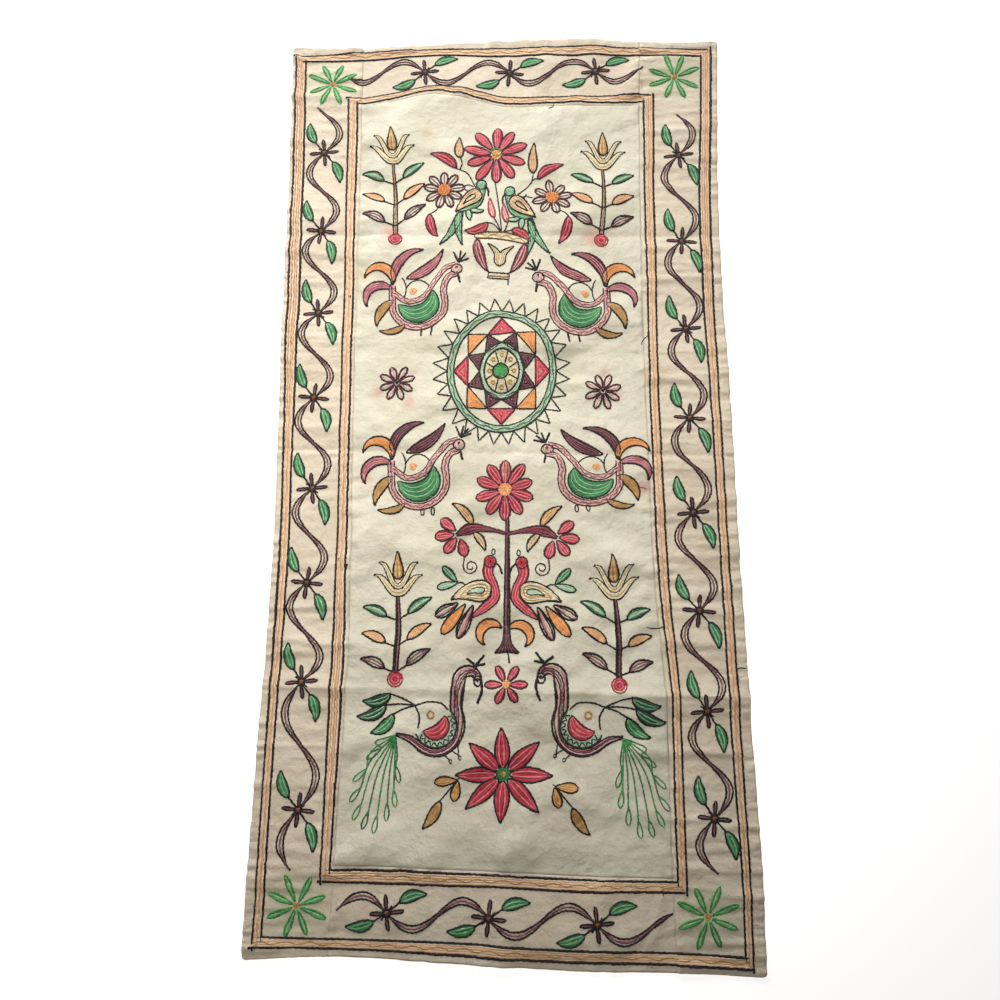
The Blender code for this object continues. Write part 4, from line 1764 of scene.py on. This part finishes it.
def thread_material(colour):
    """Stranded cotton, dyed and twisted: a soft shine, and a tone of its own for each stitch."""
    material, tree, shader = new_material("stranded_cotton_" + colour)
    tone = add_node(tree, "ShaderNodeAttribute", attribute_name="tone")
    low, high = THREAD_COLOURS[colour]
    dyed = add_node(tree, "ShaderNodeValToRGB", [("Fac", tone.outputs["Fac"])], [(0, low), (1, high)])
    tree.links.new(dyed.outputs["Color"], shader.inputs["Base Color"])
    where = add_node(tree, "ShaderNodeTexCoord").outputs["Object"]
    fibre = add_node(
        tree, "ShaderNodeTexNoise", [("Vector", where)], Scale=scale_for(FIBRE_SIZE), Detail=2.0
    )
    bump = add_node(
        tree, "ShaderNodeBump", [("Height", fibre.outputs["Fac"])],
        Strength=0.35, Distance=FIBRE_DEPTH * MM,
    )
    tree.links.new(bump.outputs["Normal"], shader.inputs["Normal"])
    shader.inputs["Roughness"].default_value = 0.62
    shader.inputs["Sheen Weight"].default_value = 0.06
    shader.inputs["Sheen Roughness"].default_value = 0.4
    return material


thread_materials = {colour: thread_material(colour) for colour in THREAD_COLOURS}
for (area, colour), item in threads.items():
    item.data.materials.append(thread_materials[colour])
print("thread materials:", len(thread_materials))

# %% [markdown]
# ## Cotton
# Plain-weave cotton is dull and slightly fuzzy, so its roughness is near 0.9 with a little sheen.
# Washing and age make its colour a little uneven. A photo of cloth could be wrapped round the
# pieces, but a procedural texture has no seams and no fixed resolution. Large soft noise gives the
# uneven tone, and the dye that has bled is multiplied in from the points of the mesh.

# %% Colour of the cotton
MOTTLE_SIZE = 71.4
# A mix node has its colours at inputs 6 and 7 and at output 2.
MIX_A = 6
MIX_B = 7
MIX_RESULT = 2


def aged_cotton(tree, where, low, high, seed):
    """The cloth's colour: faintly uneven, and tinted where dye has bled into it."""
    mottle = add_node(
        tree, "ShaderNodeTexNoise", [("Vector", where)], noise_dimensions="4D", W=seed,
        Scale=scale_for(MOTTLE_SIZE), Detail=4.0, Roughness=0.6,
    )
    aged = add_node(
        tree, "ShaderNodeValToRGB", [("Fac", mottle.outputs["Fac"])], [(0.35, low), (0.65, high)]
    )
    dye = add_node(tree, "ShaderNodeAttribute", attribute_name="dye")
    stained = add_node(
        tree, "ShaderNodeMix", [(MIX_A, aged.outputs["Color"]), (MIX_B, dye.outputs["Color"])],
        data_type="RGBA", blend_type="MULTIPLY", Factor=1.0,
    )
    return stained.outputs[MIX_RESULT]


print("the cotton's tone changes over about, in mm:", MOTTLE_SIZE)

# %% [markdown]
# ## Weave of the cotton
# Two waves at right angles, multiplied, make the weave, and a soft noise makes the fine crumples of
# thin washed cotton. Real threads lie about 0.4 mm apart, and modelling each would take millions of
# faces. As bump they cost nothing, and they are drawn nearly twice as coarse, so that they show.

# %% Weave of the cotton
WEAVE_PITCH = 0.748
WEAVE_DEPTH = 0.3
CRUMPLE_SIZE = 13.33
CRUMPLE_DEPTH = 4.2
# A wave texture repeats after this length at scale 1.
WAVE_REPEAT = 2 * math.pi / 20


def woven_relief(tree, where):
    """The cloth's bumps: warp and weft threads, and the crumples of thin washed cotton."""
    waves = []
    for direction in ("X", "Y"):
        wave = add_node(
            tree, "ShaderNodeTexWave", [("Vector", where)], bands_direction=direction,
            Scale=scale_for(WEAVE_PITCH, WAVE_REPEAT), Distortion=1.5, Detail=1.0,
        )
        waves.append(wave.outputs["Fac"])
    weave = add_node(tree, "ShaderNodeMath", list(enumerate(waves)), operation="MULTIPLY")
    woven = add_node(
        tree, "ShaderNodeBump", [("Height", weave.outputs[0])],
        Strength=0.25, Distance=WEAVE_DEPTH * MM,
    )
    crumple = add_node(
        tree, "ShaderNodeTexNoise", [("Vector", where)], Scale=scale_for(CRUMPLE_SIZE),
        Detail=5.0, Roughness=0.6,
    )
    bump = add_node(
        tree, "ShaderNodeBump",
        [("Height", crumple.outputs["Fac"]), ("Normal", woven.outputs["Normal"])],
        Strength=0.8, Distance=CRUMPLE_DEPTH * MM,
    )
    return bump.outputs["Normal"]


def cotton_material(name, low, high, seed):
    """Plain-weave cotton, washed and aged: matt, a little uneven and finely crumpled."""
    material, tree, shader = new_material(name)
    where = add_node(tree, "ShaderNodeTexCoord").outputs["Object"]
    tree.links.new(aged_cotton(tree, where, low, high, seed), shader.inputs["Base Color"])
    tree.links.new(woven_relief(tree, where), shader.inputs["Normal"])
    shader.inputs["Roughness"].default_value = 0.9
    shader.inputs["Sheen Weight"].default_value = 0.1
    return material


panel_cotton = cotton_material("ivory_plain_cotton", *PANEL_COTTON, seed=1.0)
strip_cotton = cotton_material("blush_plain_cotton", *STRIP_COTTON, seed=2.0)
for name, cloth in cloths.items():
    cloth.data.materials.append(panel_cotton if name == "centre_panel" else strip_cotton)
print("cloth and thread materials:", len(bpy.data.materials))

# %% [markdown]
# ## Dye that has bled
# Some threads have lost a little dye into the cloth round them. Stains could be painted in Vertex
# Paint. Each stain here is a soft spot that tints the cloth, written to the same kind of colour
# attribute on the points of the mesh, which the cotton's material multiplies in.

# %% Dye stains
Stain = namedtuple("Stain", "x y radius colour strength")
PINK_DYE = "#e88890"
GREEN_DYE = "#a8d8b0"
OCHRE_DYE = "#e8c890"
STAINS = [
    Stain(-115, 232, 9, PINK_DYE, 0.5),
    Stain(88, 224, 9, PINK_DYE, 0.5),
    Stain(-131, -22, 6, PINK_DYE, 0.5),
    Stain(132, -31, 7, PINK_DYE, 0.5),
    Stain(72, 302, 9, GREEN_DYE, 0.3),
    Stain(68, -127, 9, GREEN_DYE, 0.3),
    Stain(-170, 115, 8, GREEN_DYE, 0.3),
    Stain(-142, 185, 8, OCHRE_DYE, 0.4),
    Stain(-80, 345, 8, OCHRE_DYE, 0.3),
    Stain(-122, 64, 6, PINK_DYE, 0.45),
    Stain(-92, 53, 6, PINK_DYE, 0.45),
    Stain(-90, 82, 5, PINK_DYE, 0.3),
    Stain(98, 83, 5, PINK_DYE, 0.4),
    Stain(110, 60, 6, PINK_DYE, 0.35),
    Stain(-111, 190, 9, PINK_DYE, 0.35),
    Stain(-97, 131, 6, PINK_DYE, 0.3),
    Stain(207, 352, 9, "#d8a868", 0.6),
    Stain(145, 80, 8, "#e0b070", 0.5),
]
# The green of each corner star has spread into a wide, faint halo.
STAINS += [Stain(*place, 24, "#b4dcb0", 0.35) for place in STAR_PLACES]


def dye_on(x, y):
    """The tint of the cloth at each place, as red, green and blue."""
    tint = np.ones(x.shape + (3,))
    for stain in STAINS:
        away = ((x - stain.x) ** 2 + (y - stain.y) ** 2) / stain.radius**2
        spread = np.exp(-away) * stain.strength
        tint = tint * (1 + spread[..., None] * (np.array(linear(stain.colour)[:3]) - 1))
    return tint


for cloth in cloths.values():
    mesh = cloth.data
    place = np.empty(len(mesh.vertices) * 3, np.float32)
    mesh.vertices.foreach_get("co", place)
    place = place.reshape(-1, 3) / MM
    dye = mesh.color_attributes.new("dye", "FLOAT_COLOR", "POINT")
    shade = np.concatenate([dye_on(place[:, 0], place[:, 1]), np.ones((len(place), 1))], 1)
    dye.data.foreach_set("color", shade.astype(np.float32).ravel())
print("stains:", len(STAINS))

# %% [markdown]
# ## Floor
# The runner lies on a plain pale floor. The backdrop in the photo is lit to near white, which could
# be done with many lamps. A faint glow in the floor's paint does it more simply, and the cloth
# keeps its own light.

# %% Floor
FLOOR_SIZE = 6.0
FLOOR_DROP = 0.0004
FLOOR_PAINT = "#f4f3f2"
FLOOR_GLOW = 0.75


def add_floor():
    mesh = bpy.data.meshes.new("floor")
    half = FLOOR_SIZE / 2
    corners = [(-half, -half), (half, -half), (half, half), (-half, half)]
    mesh.from_pydata([(x, y, -FLOOR_DROP) for x, y in corners], [], [(0, 1, 2, 3)])
    floor = bpy.data.objects.new("floor", mesh)
    bpy.context.collection.objects.link(floor)
    material, tree, shader = new_material("matt_white_paint")
    shader.inputs["Base Color"].default_value = linear(FLOOR_PAINT)
    shader.inputs["Roughness"].default_value = 0.8
    shader.inputs["Emission Color"].default_value = linear(FLOOR_PAINT)
    shader.inputs["Emission Strength"].default_value = FLOOR_GLOW
    mesh.materials.append(material)
    return floor


add_floor()
print("floor width in metres:", FLOOR_SIZE)

# %% [markdown]
# ## Light
# A broad, slightly cool light comes low from a window past the far end, so it rakes over the folds.
# A warmer, soft ceiling light fills the rest and is weaker towards the near end, where the cloth is
# darker in the photo. A sun lamp would be simpler, but its hard light shows no soft swells. The
# view transform is Standard, which keeps the thread colours as they were chosen.

# %% Light
WINDOW_TINT = (0.95, 0.98, 1.0)
CEILING_TINT = (1.0, 0.98, 0.92)
ROOM_LIGHT = 0.06


def add_area_light(name, place, aim, size, power, spread=180, colour=(1, 1, 1)):
    data = bpy.data.lights.new(name, "AREA")
    data.shape = "RECTANGLE"
    data.size, data.size_y = size
    data.energy = power
    data.spread = math.radians(spread)
    data.color = colour
    light = bpy.data.objects.new(name, data)
    direction = unit(np.subtract(aim, place))
    across = unit(np.cross(direction, (0.0, 0.0, 1.0)))
    up = np.cross(across, direction)
    turned = Matrix(np.array([across, up, -direction]).T.tolist()).to_4x4()
    light.matrix_world = Matrix.Translation(place) @ turned
    bpy.context.collection.objects.link(light)
    return light


world = bpy.data.worlds.new("room")
world.use_nodes = True
background = world.node_tree.nodes["Background"]
background.inputs["Color"].default_value = (1.0, 1.0, 1.0, 1.0)
background.inputs["Strength"].default_value = ROOM_LIGHT
bpy.context.scene.world = world
bpy.context.scene.view_settings.view_transform = "Standard"
add_area_light(
    "window", (-0.35, 1.35, 0.62), (0.0, 0.1, 0.0), size=(1.6, 0.5), power=19.0, colour=WINDOW_TINT
)
add_area_light(
    "ceiling", (-0.13, 0.2, 1.7), (-0.13, 0.11, 0.0), size=(0.5, 0.5), power=2.3, spread=51,
    colour=CEILING_TINT,
)

# %% [markdown]
# ## Each piece on its body
# Each cloth stands for its solid and rides on the one body, with its threads.

# %% Attach and finish
for name, cloth in cloths.items():
    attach(cloth, "root")
    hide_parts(name)
    sewn_on = [item for (area, colour), item in threads.items() if area == name]
    for item in sewn_on:
        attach(item, "root")
print("pieces:", len(cloths), "of cloth and", len(threads), "of thread")
